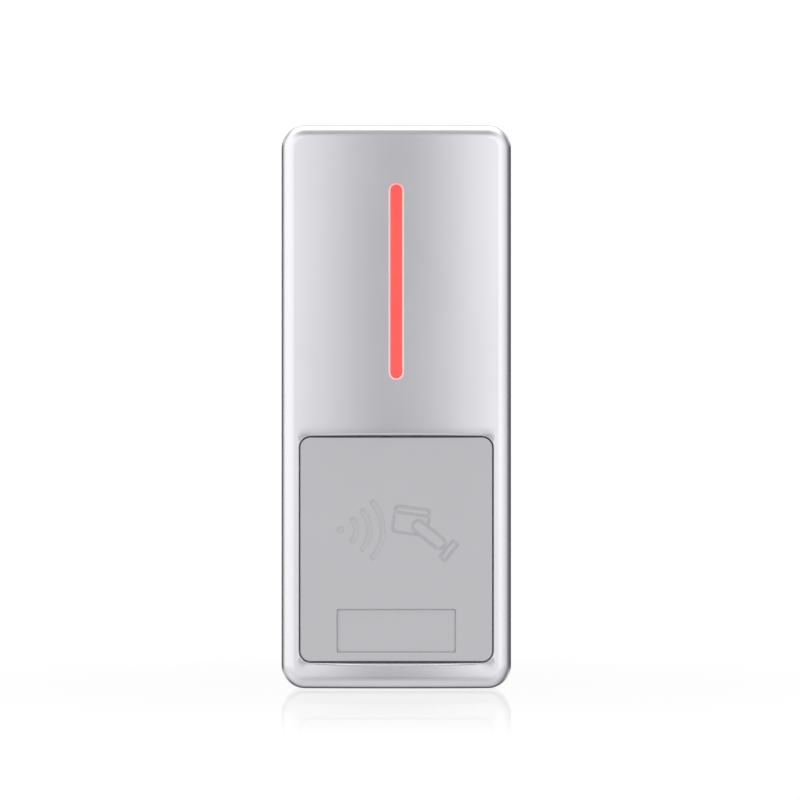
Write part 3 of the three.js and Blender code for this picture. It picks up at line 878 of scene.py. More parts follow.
@dataclass(frozen=True)
class LitGuide(Finish):
    """Tinted acrylic that carries the light of the lamps behind it.

    Attributes:
        glow: The colour that it gives off.
        strength: How strongly.
        pitch: The distance between the lamps, in metres.
        first: The height of one lamp, in metres.
        leak: The paler colour that shows past the guide's sides.
        leak_level: How deep the guide's flange lies, in metres.
    """

    glow: Colour = (1.0, 0.09, 0.085)
    strength: float = 0.9
    pitch: float = 0.0075
    first: float = 0.0
    leak: Colour = (1.0, 0.66, 0.68)
    leak_level: float = -0.0176

    def material(self) -> bpy.types.Material:
        """The finished material.

        Returns:
            The material.
        """
        surface = self.start()
        place = surface.add("ShaderNodeTexCoord").outputs["Object"]
        depth, height = surface.add("ShaderNodeSeparateXYZ", {0: place}).outputs[1:3]
        phase = surface.sum("SUBTRACT", height, self.first)
        wave = surface.sum("COSINE", surface.sum("MULTIPLY", phase, 2 * math.pi / self.pitch))
        near_lamp = surface.spread(wave, -1.0, 1.0)
        drift = surface.effect(Effect.MOTTLE, Scale=55.0)
        lamps = surface.blend(near_lamp, tone(self.glow, 0.97), tone(self.glow))
        warmer = (self.glow[0], self.glow[1] * 1.18, self.glow[2] * 0.92)
        lit = surface.blend(surface.spread(drift, 0.4, 0.7), lamps, tone(warmer))
        past = surface.spread(depth, self.leak_level - 0.0004, self.leak_level)
        surface.set(
            Emission_Color=surface.blend(past, lit, tone(self.leak)),
            Emission_Strength=self.strength,
            Coat_Weight=0.3,
            Coat_Roughness=0.12,
        )
        return surface.material


@dataclass(frozen=True)
class ClearMoulding(Finish):
    """A translucent moulding, such as silicone or resin, that scatters light inside."""

    depth: float = 0.0006

    def material(self) -> bpy.types.Material:
        """The finished material.

        Returns:
            The material.
        """
        surface = self.start()
        grain = surface.effect(Effect.GRAIN, Scale=2500.0)
        drift = surface.effect(Effect.MOTTLE, Scale=120.0)
        surface.set(
            Base_Color=surface.blend(drift, tone(self.colour, 0.94), tone(self.colour, 1.04)),
            Subsurface_Weight=0.4,
            Subsurface_Radius=(self.depth, self.depth, self.depth),
            Subsurface_Scale=1.0,
        )
        surface.bump(grain, 3e-6)
        return surface.material


@dataclass(frozen=True)
class BareMetal(Finish):
    """Plated, brushed or turned metal, brighter where its edges are rubbed.

    Attributes:
        tint: A second colour that drifts over the first.
        line_scale: Brushing lines per metre.
        line_height: Their height in metres.
    """

    tint: Colour = (0.6, 0.6, 0.6)
    line_scale: float = 4000.0
    line_height: float = 2e-6

    def material(self) -> bpy.types.Material:
        """The finished material.

        Returns:
            The material.
        """
        surface = self.start()
        lines = surface.effect(Effect.BRUSHING, Scale=self.line_scale)
        drift = surface.spread(surface.effect(Effect.MOTTLE, Scale=90.0), 0.35, 0.65)
        worn = surface.effect(Effect.EDGE_WEAR, Radius=0.00025)
        body = surface.blend(drift, tone(self.colour), tone(self.tint))
        spread = (self.roughness - 0.05, self.roughness + 0.07)
        surface.set(
            Metallic=1.0,
            Base_Color=surface.blend(worn, body, tone(self.colour, 1.35)),
            Roughness=surface.spread(lines, 0.0, 1.0, spread),
        )
        surface.bump(lines, self.line_height)
        return surface.material


@dataclass(frozen=True)
class EnamelledCopper(Finish):
    """Copper wire under clear enamel."""

    def material(self) -> bpy.types.Material:
        """The finished material.

        Returns:
            The material.
        """
        surface = self.start()
        drift = surface.effect(Effect.MOTTLE, Scale=400.0)
        surface.set(
            Metallic=1.0,
            Coat_Weight=0.8,
            Coat_Roughness=0.08,
            Base_Color=surface.blend(drift, tone(self.colour, 0.8), tone(self.colour, 1.25)),
        )
        surface.bump(surface.effect(Effect.BRUSHING, Scale=3000.0), 2e-6)
        return surface.material


@dataclass(frozen=True)
class SolderMask(Finish):
    """Green lacquer over a circuit board's copper, whose tracks show as paler lines."""

    track: Colour = (0.03, 0.24, 0.08)

    def material(self) -> bpy.types.Material:
        """The finished material.

        Returns:
            The material.
        """
        surface = self.start()
        place = surface.add("ShaderNodeTexCoord").outputs["Object"]
        turned_up = surface.add(
            "ShaderNodeMapping", {"Vector": place, "Rotation": (math.pi / 2, 0, 0)}
        )
        feeds = {
            "Vector": turned_up.outputs[0],
            "Scale": 260.0,
            "Mortar Size": 0.06,
            "Mortar Smooth": 0.2,
            "Brick Width": 1.7,
            "Row Height": 0.35,
        }
        runs = surface.add("ShaderNodeTexBrick", feeds).outputs["Fac"]
        patches = surface.spread(surface.effect(Effect.MOTTLE, Scale=80.0), 0.42, 0.5)
        tracks = surface.sum("MULTIPLY", runs, patches)
        surface.set(
            Base_Color=surface.blend(tracks, tone(self.colour), tone(self.track)),
            Coat_Weight=0.4,
            Coat_Roughness=0.2,
        )
        surface.bump(tracks, 2e-5)
        return surface.material


class Slot(Enum):
    """The record's material slots."""

    SATIN_SILVER = "satin_silver"
    GREY_PLASTIC = "grey_plastic"
    RED_ACRYLIC = "red_acrylic"
    WHITE_PLASTIC = "white_plastic"
    BLACK_PLASTIC = "black_plastic"
    BLACK_RUBBER = "black_rubber"
    CLEAR_SILICONE = "clear_silicone"
    ZINC_STEEL = "zinc_steel"
    STAINLESS = "stainless"
    GREEN_BOARD = "green_board"
    CHIP_BLACK = "chip_black"
    COPPER_WIRE = "copper_wire"
    FERRITE = "ferrite"
    TINNED_CAN = "tinned_can"
    CREAM_NYLON = "cream_nylon"
    FOAM_TAPE = "foam_tape"
    LABEL_FILM = "label_film"
    LED_RESIN = "led_resin"


LAMP_PITCH = 7.5
LIGHT_BAR_HEIGHT = 28.3
BOARD_SCREW_PLACES = ((-16.3, 42.5), (16.3, 42.5), (-16.3, -0.8), (16.3, -0.8))
COVER_SCREW_PLACES = ((-19.4, 50.8), (19.4, 50.8), (-19.4, -48.4), (19.4, -48.4))

FINISHES: dict[Slot, Finish] = {
    Slot.SATIN_SILVER: SilverLacquer("Satin silver lacquer", (0.86, 0.855, 0.9), 0.25),
    # The window's sunk picture and label recess get a deeper painted shade in their hollows.
    Slot.GREY_PLASTIC: Moulding(
        "Grey window plastic", (0.615, 0.612, 0.64), 0.55, 4200.0, 2e-6, 0.05, hollow_shade_tone=0.25
    ),
    Slot.RED_ACRYLIC: LitGuide(
        "Lit red acrylic", (0.7, 0.03, 0.03), 0.25, first=(LIGHT_BAR_HEIGHT + LAMP_PITCH / 2) * MM
    ),
    Slot.WHITE_PLASTIC: Moulding("White moulding", (0.82, 0.82, 0.79), 0.45, 3000.0, 3e-6, 0.05),
    Slot.BLACK_PLASTIC: Moulding("Black moulding", (0.022, 0.023, 0.025), 0.5, 2600.0, 1.2e-5),
    Slot.BLACK_RUBBER: Moulding("Black rubber", (0.014, 0.014, 0.015), 0.78, 3500.0, 6e-6, 0.3, 0.3),
    Slot.CLEAR_SILICONE: ClearMoulding("Clear silicone", (0.68, 0.68, 0.64), 0.45),
    Slot.ZINC_STEEL: BareMetal(
        "Zinc-plated steel", (0.56, 0.58, 0.6), 0.3, (0.52, 0.53, 0.5), 2600.0, 2.5e-6
    ),
    Slot.STAINLESS: BareMetal("Stainless steel", (0.6, 0.6, 0.61), 0.24, (0.56, 0.56, 0.57)),
    Slot.GREEN_BOARD: SolderMask("Solder mask", (0.013, 0.147, 0.045), 0.35),
    Slot.CHIP_BLACK: Moulding("Moulded epoxy", (0.012, 0.012, 0.013), 0.5, 8000.0, 4e-6, 0.1),
    Slot.COPPER_WIRE: EnamelledCopper("Enamelled copper", (0.72, 0.27, 0.12), 0.3),
    Slot.FERRITE: Moulding("Ferrite", (0.042, 0.042, 0.046), 0.55, 5000.0, 5e-6, 0.05),
    Slot.TINNED_CAN: BareMetal("Drawn can", (0.7, 0.71, 0.72), 0.2, (0.66, 0.67, 0.67), 5000.0, 1e-6),
    Slot.CREAM_NYLON: ClearMoulding("Natural nylon", (0.78, 0.76, 0.66), 0.4),
    Slot.FOAM_TAPE: Moulding("Foam tape", (0.03, 0.03, 0.033), 0.9, 2500.0, 3e-5, 0.0, 0.2),
    Slot.LABEL_FILM: Moulding("Blank label film", (0.72, 0.73, 0.74), 0.35, 9000.0, 1e-6, 0.05),
    Slot.LED_RESIN: ClearMoulding("Lamp resin", (0.92, 0.84, 0.6), 0.2),
}


# ---- Placing pieces ----


class Body(Enum):
    """The frame's bodies."""

    WALL_PLATE = "wall_plate"
    READER = "reader"
    TAMPER_PLUNGER = "tamper_plunger"
    LOCK_WASHER = "lock_washer"
    LOCK_SCREW = "lock_screw"


class Bench:
    """Keeps the finishes and sets finished pieces on the frame's bodies."""

    def __init__(self) -> None:
        """Mixes every finish."""
        self.materials = {slot: finish.material() for slot, finish in FINISHES.items()}
        self.dressed: set[str] = set()

    def place(
        self,
        name: str,
        bm: Solid,
        body: Body,
        slot: Slot,
        *nodes: str,
        crease: float = 32.0,
    ) -> bpy.types.Object:
        """Makes a piece of a mesh and sets it on its body.

        Args:
            name: The piece's name.
            bm: Its mesh in millimetres; it is used up.
            body: The body that it rides on.
            slot: The slot that its finish comes from.
            nodes: The frame's nodes that it stands for.
            crease: Edges that turn by more degrees than this stay sharp.

        Returns:
            The piece.
        """
        bmesh.ops.recalc_face_normals(bm, faces=bm.faces)
        bm.transform(Matrix.Scale(MM, 4))
        mesh = bpy.data.meshes.new(name)
        bm.to_mesh(mesh)
        bm.free()
        mesh.shade_smooth()
        mesh.set_sharp_from_angle(angle=math.radians(crease))
        mesh.materials.append(self.materials[slot])
        made = bpy.data.objects.new(name, mesh)
        bpy.context.scene.collection.objects.link(made)
        self.keep_flats_even(made)
        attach(made, body.value)
        if nodes:
            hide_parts(*nodes)
            self.dressed.update(nodes)
        log.info("%s: %d faces on %s", name, len(made.data.polygons), body.value)
        return made

    @staticmethod
    def keep_flats_even(made: bpy.types.Object) -> None:
        """Weighs the normals by face, so that flat faces beside small roundings look flat.

        Args:
            made: The piece.
        """
        step = made.modifiers.new("even", "WEIGHTED_NORMAL")
        step.keep_sharp = True
        step.weight = 100
        rough = made.data
        done = made.evaluated_get(bpy.context.evaluated_depsgraph_get())
        made.data = bpy.data.meshes.new_from_object(done)
        made.modifiers.clear()
        name = rough.name
        bpy.data.meshes.remove(rough)
        made.data.name = name

    def dress(self, slot: Slot, *nodes: str) -> None:
        """Gives the frame's nodes a finish.

        Args:
            slot: The finish.
            *nodes: The nodes' names.
        """
        for node in nodes:
            mesh = frame["nodes"][node].data
            mesh.materials.clear()
            mesh.materials.append(self.materials[slot])
            self.dressed.add(node)
            log.info("%s: dressed in %s", node, slot.value)

    def dress_the_rest(self) -> None:
        """Gives every node not yet seen to the finish that its record names."""
        for part in frame["record"]["subparts"]:
            if part["node"] not in self.dressed:
                self.dress(Slot(part["material_slot"]), part["node"])


# ---- The case ----


@dataclass
class FrontHousing:
    """The die-cast case: a crowned front on straight sides, hollow behind."""

    width: float = 52.0
    height: float = 127.5
    depth: float = 21.0
    corner: float = 5.3
    fillet: float = 3.0
    crown_radius: float = 26.0**2 / 3.0
    wall: float = 2.4
    rim: float = -0.5
    inner_face: float = -18.0
    recess: float = -3.4
    ledge: float = -7.0
    chamber_rear: float = -12.0
    window_frame_rear: float = -16.1
    window_seat: float = -17.65
    window: tuple[float, float, float] = (44.0, 51.2, 2.65)
    window_hole: tuple[float, float, float] = (40.0, 47.3, 2.0)
    window_z: float = -32.2
    window_level: float = -19.93
    scoop: float = 2.5
    dish: float = 0.16
    brink: float = 0.7
    slot: tuple[float, float] = (3.2, 44.3)
    slot_z: float = LIGHT_BAR_HEIGHT
    hole_edge: float = 0.26
    slot_edge: float = 0.12
    cover_half: float = 24.0
    cover_low: float = -53.2
    cover_high: float = 55.6
    chamber_half: float = 22.2
    lock_y: float = -5.6
    board_screws: tuple = BOARD_SCREW_PLACES
    cover_screws: tuple = COVER_SCREW_PLACES

    def crown(self, x: float) -> float:
        """The level of the crowned front at a distance from the middle."""
        return -self.depth + x * x / (2 * self.crown_radius)

    def outside_window(self, x: float, z: float) -> float:
        """How far a point of the front lies outside the window's opening.

        Args:
            x: The place across.
            z: The place upright.

        Returns:
            The distance, below zero inside it.
        """
        width, height, radius = self.window
        across = abs(x) - width / 2 + radius
        along = abs(z - self.window_z) - height / 2 + radius
        beyond = math.hypot(max(across, 0.0), max(along, 0.0))
        return beyond + min(max(across, along), 0.0) - radius

    def front(self, x: float, z: float) -> float:
        """The level of the front, which eases down to the flat window round its opening.

        Args:
            x: The place across.
            z: The place upright.

        Returns:
            The level.
        """
        crown = self.crown(x)
        drop = max(self.window_level - crown, 0.0)
        outside = max(self.outside_window(x, z), 0.0)
        dish = max(1 - outside / self.scoop, 0.0) ** 2
        brink = max(1 - outside / self.brink, 0.0) ** 2
        return crown + min(drop, self.dish) * dish + max(drop - self.dish, 0.0) * brink

    def front_normal(self, x: float, z: float) -> Vector:
        """The way that the front faces at a point.

        Args:
            x: The place across.
            z: The place upright.

        Returns:
            The normal.
        """
        step = 0.02
        tilt_x = (self.front(x + step, z) - self.front(x - step, z)) / (2 * step)
        tilt_z = (self.front(x, z + step) - self.front(x, z - step)) / (2 * step)
        return Vector((tilt_x, -1.0, tilt_z)).normalized()

    def blank(self) -> Solid:
        """The solid case with a flat front, its edges already rounded.

        Returns:
            The closed mesh.
        """
        rings = []
        for inset, y in ((0.3, self.rim), (0.1, self.rim - 0.1), (0.0, self.rim - 0.35)):
            rings.append((inset, y))
        for i in range(11):
            turn = math.pi / 2 * i / 10
            inset = self.fillet * (1 - math.cos(turn))
            rings.append((inset, -self.depth + self.fillet * (1 - math.sin(turn))))
        return loft(
            [
                ring_at(
                    rounded_outline(
                        self.width - 2 * inset, self.height - 2 * inset, self.corner - inset, 12
                    ),
                    y,
                )
                for inset, y in rings
            ]
        )

    def crowned_shell(self) -> Solid:
        """The blank with the window's seat and the light slot sunk in it, then crowned.

        Returns:
            The closed mesh.
        """
        seat = prism(
            rounded_outline(*self.window, steps=8, z=self.window_z), self.window_seat, -22
        )
        slot = prism(stadium_outline(*self.slot, z=self.slot_z), self.inner_face + 0.5, -22)
        bm = combine(self.blank(), [seat, slot], Joining.CUT)

        def on_slot(edge: Edge) -> bool:
            """Whether an edge is nearer the slot than the window."""
            return edge.verts[0].co.z > self.slot_z - self.slot[1] / 2 - 1.0

        def on_front_hole(edge: Edge) -> bool:
            """Whether an edge is the front edge of the window's seat or of the slot.

            Args:
                edge: The edge.

            Returns:
                True if it is.
            """
            ends = [vert.co for vert in edge.verts]
            if any(abs(co.y + self.depth) > 1e-4 for co in ends):
                return False
            return all(
                self.outside_window(co.x, co.z) < 0.01 or abs(co.x) < self.slot[0] / 2 + 0.01
                for co in ends
            ) and edge.calc_face_angle(0) > 0.5

        round_edges(bm, lambda edge: on_front_hole(edge) and on_slot(edge), self.slot_edge, 3)
        round_edges(bm, lambda edge: on_front_hole(edge) and not on_slot(edge), self.hole_edge, 4)
        slice_across(bm, "x", [i * 1.25 - 25.0 for i in range(41)])
        top = self.window_z + self.window[1] / 2
        bottom = self.window_z - self.window[1] / 2
        steps = [self.hole_edge + reach for reach in (0, 0.08, 0.16, 0.24, 0.34, 0.6, 1, 1.5, 2.1)]
        slice_across(bm, "z", [top + s for s in steps] + [bottom - s for s in steps])
        for vert in bm.verts:
            co = vert.co
            if co.y < -self.depth + self.fillet + 1e-3:
                inside = abs(co.x) < self.width / 2 - self.fillet + 0.01
                level = self.front(co.x, co.z) if inside else self.crown(co.x)
                co.y += level + self.depth
        return bm

    def hollows(self) -> list[Solid]:
        """What is cut from behind: the chamber, the cover's seat and the wall plate's room.

        Returns:
            The solids.
        """
        inside = self.height / 2 - self.wall
        frame_top = self.window_z + self.window[1] / 2 + 2.7
        half = self.chamber_half
        high, low = self.cover_high, self.cover_low
        chamber = (high - low - 3.6, (high + low) / 2)
        tools = [
            block((-half, half), (self.inner_face, self.chamber_rear), (frame_top, inside)),
            block((-half, half), (self.window_frame_rear, self.chamber_rear), (-inside, frame_top + 1)),
            prism(
                rounded_outline(2 * half, chamber[0], 1.5, z=chamber[1]),
                self.ledge + 0.5,
                self.chamber_rear - 0.5,
            ),
            prism(
                rounded_outline(2 * self.cover_half, high - low, 3.3, z=(high + low) / 2),
                self.recess + 0.5,
                self.ledge,
            ),
            prism(rounded_outline(2 * self.cover_half, 2 * inside, 3.3), 1, self.recess),
        ]
        return tools

    def posts(self) -> list[Solid]:
        """The posts that the board's and the cover's screws bite into.

        Returns:
            The solids.
        """
        posts = []
        for x, z in self.board_screws:
            posts.append(prism(circle_outline(2.8, 32, x, z), -13.2, self.inner_face - 0.5))
        for x, z in self.cover_screws:
            front = self.inner_face - 0.5 if z > 0 else self.chamber_rear
            wall = math.copysign(self.chamber_half + 0.5, x)
            end = self.cover_high - 1.3 if z > 0 else self.cover_low + 1.3
            posts.append(prism(circle_outline(3.0, 32, x, z), self.ledge, front))
            posts.append(block(tuple(sorted((x, wall))), (self.ledge, front), (z - 2, z + 2)))
            posts.append(block((x - 2, x + 2), (self.ledge, front), tuple(sorted((z, end)))))
        return posts

    def openings(self) -> list[Solid]:
        """The wells for the hook and the tab, the screws' holes and the openings to the front.

        Returns:
            The solids.
        """
        inside = self.height / 2 - self.wall
        shelf, tab_top = self.cover_high + 1.5, self.cover_low - 1.5
        web_low = -self.height / 2 + 3.8
        tools = [
            block((-14, 14), (-9, 1), (shelf, inside)),
            block((-12.8, 12.8), (self.lock_y - 1.3, self.lock_y + 1.3), (inside - 1, 62.2)),
            block((-9.5, 9.5), (-10.5, 1), (web_low + 1.5, tab_top)),
            prism(rounded_outline(*self.window_hole, z=self.window_z), self.chamber_rear, -21),
            prism(stadium_outline(*self.slot, z=self.slot_z), self.inner_face + 1, -18.2),
        ]
        for side in (-1, 1):
            beside_hook = tuple(sorted((side * 15.5, side * 22.8)))
            beside_tab = tuple(sorted((side * 11.0, side * 22.8)))
            tools.append(block(beside_hook, (-9, 1), (shelf, inside)))
            tools.append(block(beside_tab, (-10.5, 1), (-inside, tab_top)))
        for radius, low, high in ((3.5, -70, web_low), (1.9, web_low - 1, web_low + 2.5)):
            tools.append(self.lock_cutter(radius, low, high))
        for x, z in self.board_screws:
            tools.append(prism(circle_outline(1.15, 24, x, z), -12, self.inner_face + 0.7))
        for x, z in self.cover_screws:
            tools.append(prism(circle_outline(1.2, 24, x, z), -6, self.ledge - 4.2))
        return tools

    def lock_cutter(self, radius: float, low: float, high: float) -> Solid:
        """The lock screw's pocket or shank slot, open to the rear.

        Args:
            radius: Its half width and the radius of its front end.
            low: Where it starts.
            high: Where it ends.

        Returns:
            The cutting tool.
        """
        turns = [math.pi + math.pi * i / 16 for i in range(17)]
        plan = [(radius * math.cos(t), self.lock_y + radius * math.sin(t)) for t in turns]
        plan += [(radius, 2.0), (-radius, 2.0)]
        return loft([[Vector((x, y, z)) for x, y in plan] for z in (low, high)])

    def mesh(self) -> Solid:
        """The whole case.

        Returns:
            The closed mesh.
        """
        bm = combine(self.crowned_shell(), self.hollows(), Joining.CUT)
        bm = combine(bm, self.posts(), Joining.ADD)
        bm = combine(bm, self.openings(), Joining.CUT)
        bmesh.ops.triangulate(bm, faces=[f for f in bm.faces if len(f.verts) > 4])
        bmesh.ops.dissolve_degenerate(bm, dist=1e-5, edges=bm.edges)
        return bm

    def polish_front(self, made: bpy.types.Object) -> None:
        """Gives the front's corners their exact normals, so that its reflections run smoothly.

        Args:
            made: The case.
        """
        mesh = made.data
        normals = [corner.vector.copy() for corner in mesh.corner_normals]
        for face in mesh.polygons:
            for loop in face.loop_indices:
                co = mesh.vertices[mesh.loops[loop].vertex_index].co / MM
                if abs(co.x) > self.width / 2 - self.fillet + 0.01:
                    continue
                if abs(co.z) > self.height / 2 - self.fillet + 0.01 or face.normal.y > -0.35:
                    continue
                if abs(co.y - self.front(co.x, co.z)) < 2e-3:
                    normals[loop] = self.front_normal(co.x, co.z)
        mesh.normals_split_custom_set(normals)

    def build(self, bench: Bench) -> None:
        """Makes the case and sets it on the reader.

        Args:
            bench: Where the pieces are placed.
        """
        made = bench.place(
            "front_housing_shell", self.mesh(), Body.READER, Slot.SATIN_SILVER, "front_housing"
        )
        self.polish_front(made)


# ---- The card window ----


@dataclass
class CardWindow:
    """The flat panel that a card is held against, with its sunk picture and label recess."""

    width: float = 43.4
    height: float = 50.6
    radius: float = 2.35
    z: float = -32.2
    front: float = -19.9
    rear: float = -18.15
    edge: float = 0.2
    label: tuple[float, float, float] = (26.9, 9.8, 0.4)
    label_z: float = -50.6
    label_depth: float = 0.25
    picture_depth: float = 0.2
    picture_low: tuple[float, float] = (-15.0, -36.6)
    picture_high: tuple[float, float] = (14.6, -19.8)
    picture_step: float = 0.13
    line: float = 0.75
    wave_centre: tuple[float, float] = (-12.6, -27.9)
    wave_radii: tuple[float, ...] = (3.6, 6.6, 9.6)
    wave_spread: float = 0.7
    wave_line: float = 1.45

    @staticmethod
    def off_box(
        x: float, z: float, width: float, height: float, radius: float, turn: float, mx: float, mz: float
    ) -> float:
        """How far a point lies outside a turned rounded box.

        Args:
            x: The point across.
            z: The point upright.
            width: The box across.
            height: The box upright.
            radius: Its corner radius.
            turn: Its turn, clockwise, in radians.
            mx: Its middle across.
            mz: Its middle upright.

        Returns:
            The distance, below 0 inside.
        """
        u = (x - mx) * math.cos(turn) - (z - mz) * math.sin(turn)
        w = (x - mx) * math.sin(turn) + (z - mz) * math.cos(turn)
        a, b = abs(u) - width / 2 + radius, abs(w) - height / 2 + radius
        return math.hypot(max(a, 0.0), max(b, 0.0)) + min(max(a, b), 0.0) - radius

    def off_waves(self, x: float, z: float) -> float:
        """How far a point lies outside the dot and its three waves.

        Args:
            x: The place across.
            z: The place upright.

        Returns:
            The distance, below zero inside them.
        """
        u, w = x - self.wave_centre[0], z - self.wave_centre[1]
        best = math.hypot(u, w) - 0.9
        for radius in self.wave_radii:
            if abs(math.atan2(w, u)) <= self.wave_spread:
                gap = abs(math.hypot(u, w) - radius)
            else:
                end = (radius * math.cos(self.wave_spread), radius * math.sin(self.wave_spread))
                gap = math.hypot(u - end[0], abs(w) - end[1])
            best = min(best, gap - self.wave_line / 2)
        return best

    def off_card(self, x: float, z: float) -> float:
        """How far a point lies outside the lines of the card and the thumb that holds it.

        Args:
            x: The place across.
            z: The place upright.

        Returns:
            The distance, below zero inside them.
        """
        half = self.line / 2
        thumb = self.off_box(x, z, 9.4, 3.4, 1.65, 0.68, 7.4, -28.9)
        card = self.off_box(x, z, 8.6, 6.6, 1.2, 0.14, 3.4, -25.8)
        cuff = self.off_box(x, z, 2.2, 5.4, 0.5, 0.68, 11.9, -32.55)
        stripe = self.off_box(x, z, 7.6, self.line, 0.1, 0.14, 3.65, -24.3)
        drawn = min(abs(card + half) - half, stripe)
        return min(max(drawn, -thumb), abs(thumb + half) - half, abs(cuff + half) - half)

    def sunk(self, x: float, z: float) -> float:
        """How deep the picture is at a point."""
        inside = -min(self.off_waves(x, z), self.off_card(x, z))
        return self.picture_depth * smoothstep((inside + 0.06) / 0.28)

    def picture_patch(self, bm: Solid) -> list[Edge]:
        """Lays the fine patch that carries the picture, and gives back its border.

        Args:
            bm: The mesh it is added to.

        Returns:
            The border's edges.
        """
        (x0, z0), (x1, z1) = self.picture_low, self.picture_high
        columns = round((x1 - x0) / self.picture_step)
        rows = round((z1 - z0) / self.picture_step)
        grid = []
        for j in range(rows + 1):
            z = z0 + (z1 - z0) * j / rows
            row = []
            for i in range(columns + 1):
                x = x0 + (x1 - x0) * i / columns
                row.append(bm.verts.new((x, self.front + self.sunk(x, z), z)))
            grid.append(row)
        faces = [
            bm.faces.new((grid[j][i], grid[j][i + 1], grid[j + 1][i + 1], grid[j + 1][i]))
            for j in range(rows)
            for i in range(columns)
        ]
        return [e for f in faces for e in f.edges if len(e.link_faces) == 1]

    def skin(
        self, bm: Solid, rings: Sequence[tuple[Outline, float]], cap: bool
    ) -> list[Edge]:
        """Skins rings in the mesh.

        Args:
            bm: The mesh.
            rings: Each ring's outline and depth, starting at the face of the panel.
            cap: Whether the last ring is closed.

        Returns:
            The edges of the first ring.
        """
        rows = [[bm.verts.new(p) for p in ring_at(outline, y)] for outline, y in rings]
        for low, high in zip(rows, rows[1:]):
            for i in range(len(low)):
                j = (i + 1) % len(low)
                bm.faces.new((low[i], low[j], high[j], high[i]))
        if cap:
            bm.faces.new(rows[-1])
        count = len(rows[0])
        return [bm.edges.get((rows[0][i], rows[0][(i + 1) % count])) for i in range(count)]

    def mesh(self) -> Solid:
        """The panel.

        Returns:
            The closed mesh.
        """
        bm = bmesh.new()

        def outer(inset: float) -> Outline:
            """The panel's outline, drawn in.

            Args:
                inset: How far it is drawn in.

            Returns:
                The outline.
            """
            return rounded_outline(
                self.width - 2 * inset, self.height - 2 * inset, self.radius - inset, 10, z=self.z
            )

        def inner(grown: float) -> Outline:
            """The label recess's outline, drawn out.

            Args:
                grown: How far it is drawn out.

            Returns:
                The outline.
            """
            width, height, radius = self.label
            return rounded_outline(
                width + 2 * grown, height + 2 * grown, radius + grown, 5, z=self.label_z
            )

        turns = [math.pi / 2 * i / 4 for i in range(5)]
        rounding = [
            (outer(self.edge * (1 - math.sin(t))), self.front + self.edge * (1 - math.cos(t)))
            for t in turns
        ]
        sides = [(outer(0.0), self.rear - 0.15), (outer(0.15), self.rear)]
        lip = 0.1
        recess = [
            (inner(lip * (1 - math.sin(t))), self.front + lip * (1 - math.cos(t))) for t in turns
        ]
        foot = self.front + self.label_depth
        recess += [(inner(0.0), foot - 0.04), (inner(-0.04), foot)]
        border = self.skin(bm, rounding + sides, cap=True)
        border += self.skin(bm, recess, cap=True)
        border += self.picture_patch(bm)
        bmesh.ops.triangle_fill(bm, edges=border, use_beauty=True, use_dissolve=False)
        return bm

    def build(self, bench: Bench) -> None:
        """Makes the panel and sets it in the case.

        Args:
            bench: Where the pieces are placed.
        """
        bench.place(
            "card_window_panel",
            self.mesh(),
            Body.READER,
            Slot.GREY_PLASTIC,
            "card_window",
            crease=50.0,
        )


# ---- The light bar ----


@dataclass
class LightBar:
    """The red light guide in its slot."""

    width: float = 2.7
    height: float = 43.8
    z: float = LIGHT_BAR_HEIGHT
    front: float = -20.75
    flange_front: float = -17.5
    rear: float = -16.5
    flange: float = 2.0
    edge: float = 0.45

    def lens(self) -> Solid:
        """The light guide with its flange.

        Returns:
            The closed mesh.
        """

        def ring(grown: float, y: float) -> list[Vector]:
            """The guide's outline, drawn out, at a depth."""
            outline = stadium_outline(self.width + 2 * grown, self.height + 2 * grown, z=self.z)
            return ring_at(outline, y)

        turns = [math.pi / 2 * i / 6 for i in range(7)]
        rings = [
            ring(self.flange - 0.1, self.rear),
            ring(self.flange, self.rear - 0.1),
            ring(self.flange, self.flange_front + 0.1),
            ring(self.flange - 0.1, self.flange_front),
            ring(0.0, self.flange_front),
        ]
        for t in turns:
            grown = -self.edge * (1 - math.cos(t))
            rings.append(ring(grown, self.front + self.edge * (1 - math.sin(t))))
        return loft(rings)

    def build(self, bench: Bench) -> None:
        """Makes the light guide and sets it in the case.

        Args:
            bench: Where the pieces are placed.
        """
        bench.place(
            "light_bar_guide", self.lens(), Body.READER, Slot.RED_ACRYLIC, "light_bar_lens"
        )


# ---- Screws ----


@dataclass(frozen=True)
class Screw:
    """A machine screw with a rolled thread and a six-sided socket.

    Attributes:
        head: The head's [radius, height above its underside] points.
        shank: The thread's outer radius.
        length: The shank's length under the head.
        socket: The socket's radius to its corners.
        socket_depth: How deep the socket is.
        pitch: The thread's pitch.
    """

    head: Profile
    shank: float
    length: float
    socket: float
    socket_depth: float
    pitch: float = 0.5

    def mesh(
        self, centre: tuple[float, float], underside: float, axis: Axis, way: float
    ) -> Solid:
        """The screw.

        Args:
            centre: Where its axis stands.
            underside: The level of the underside of its head.
            axis: The direction of its axis.
            way: 1 where the head points up the axis, -1 where it points down.

        Returns:
            The closed mesh.
        """
        tip = underside - way * self.length
        low, high = sorted((tip + way * 0.35, underside - way * 0.45))
        thread = Thread(low, high, self.pitch, self.shank * 0.17)
        levels = thread.levels() if way > 0 else thread.levels()[::-1]
        profile = [(0.0, tip), (self.shank * 0.7, tip)]
        profile += [(self.shank, level) for level in levels]
        profile += [(self.shank * 0.86, underside - way * 0.2), (self.shank, underside)]
        profile += [(radius, underside + way * height) for radius, height in self.head]
        body = turned(profile, centre, axis, 32, thread=thread)
        top = underside + way * self.head[-1][1]
        ends = [(self.socket, top + way), (self.socket, top - way * self.socket_depth)]
        lead = [(self.socket + 0.25, top + way * 0.01), (self.socket - 0.1, top - way * 0.3)]
        tools = [turned(ends, centre, axis, 6), turned(lead, centre, axis, 24)]
        return combine(body, tools, Joining.CUT)


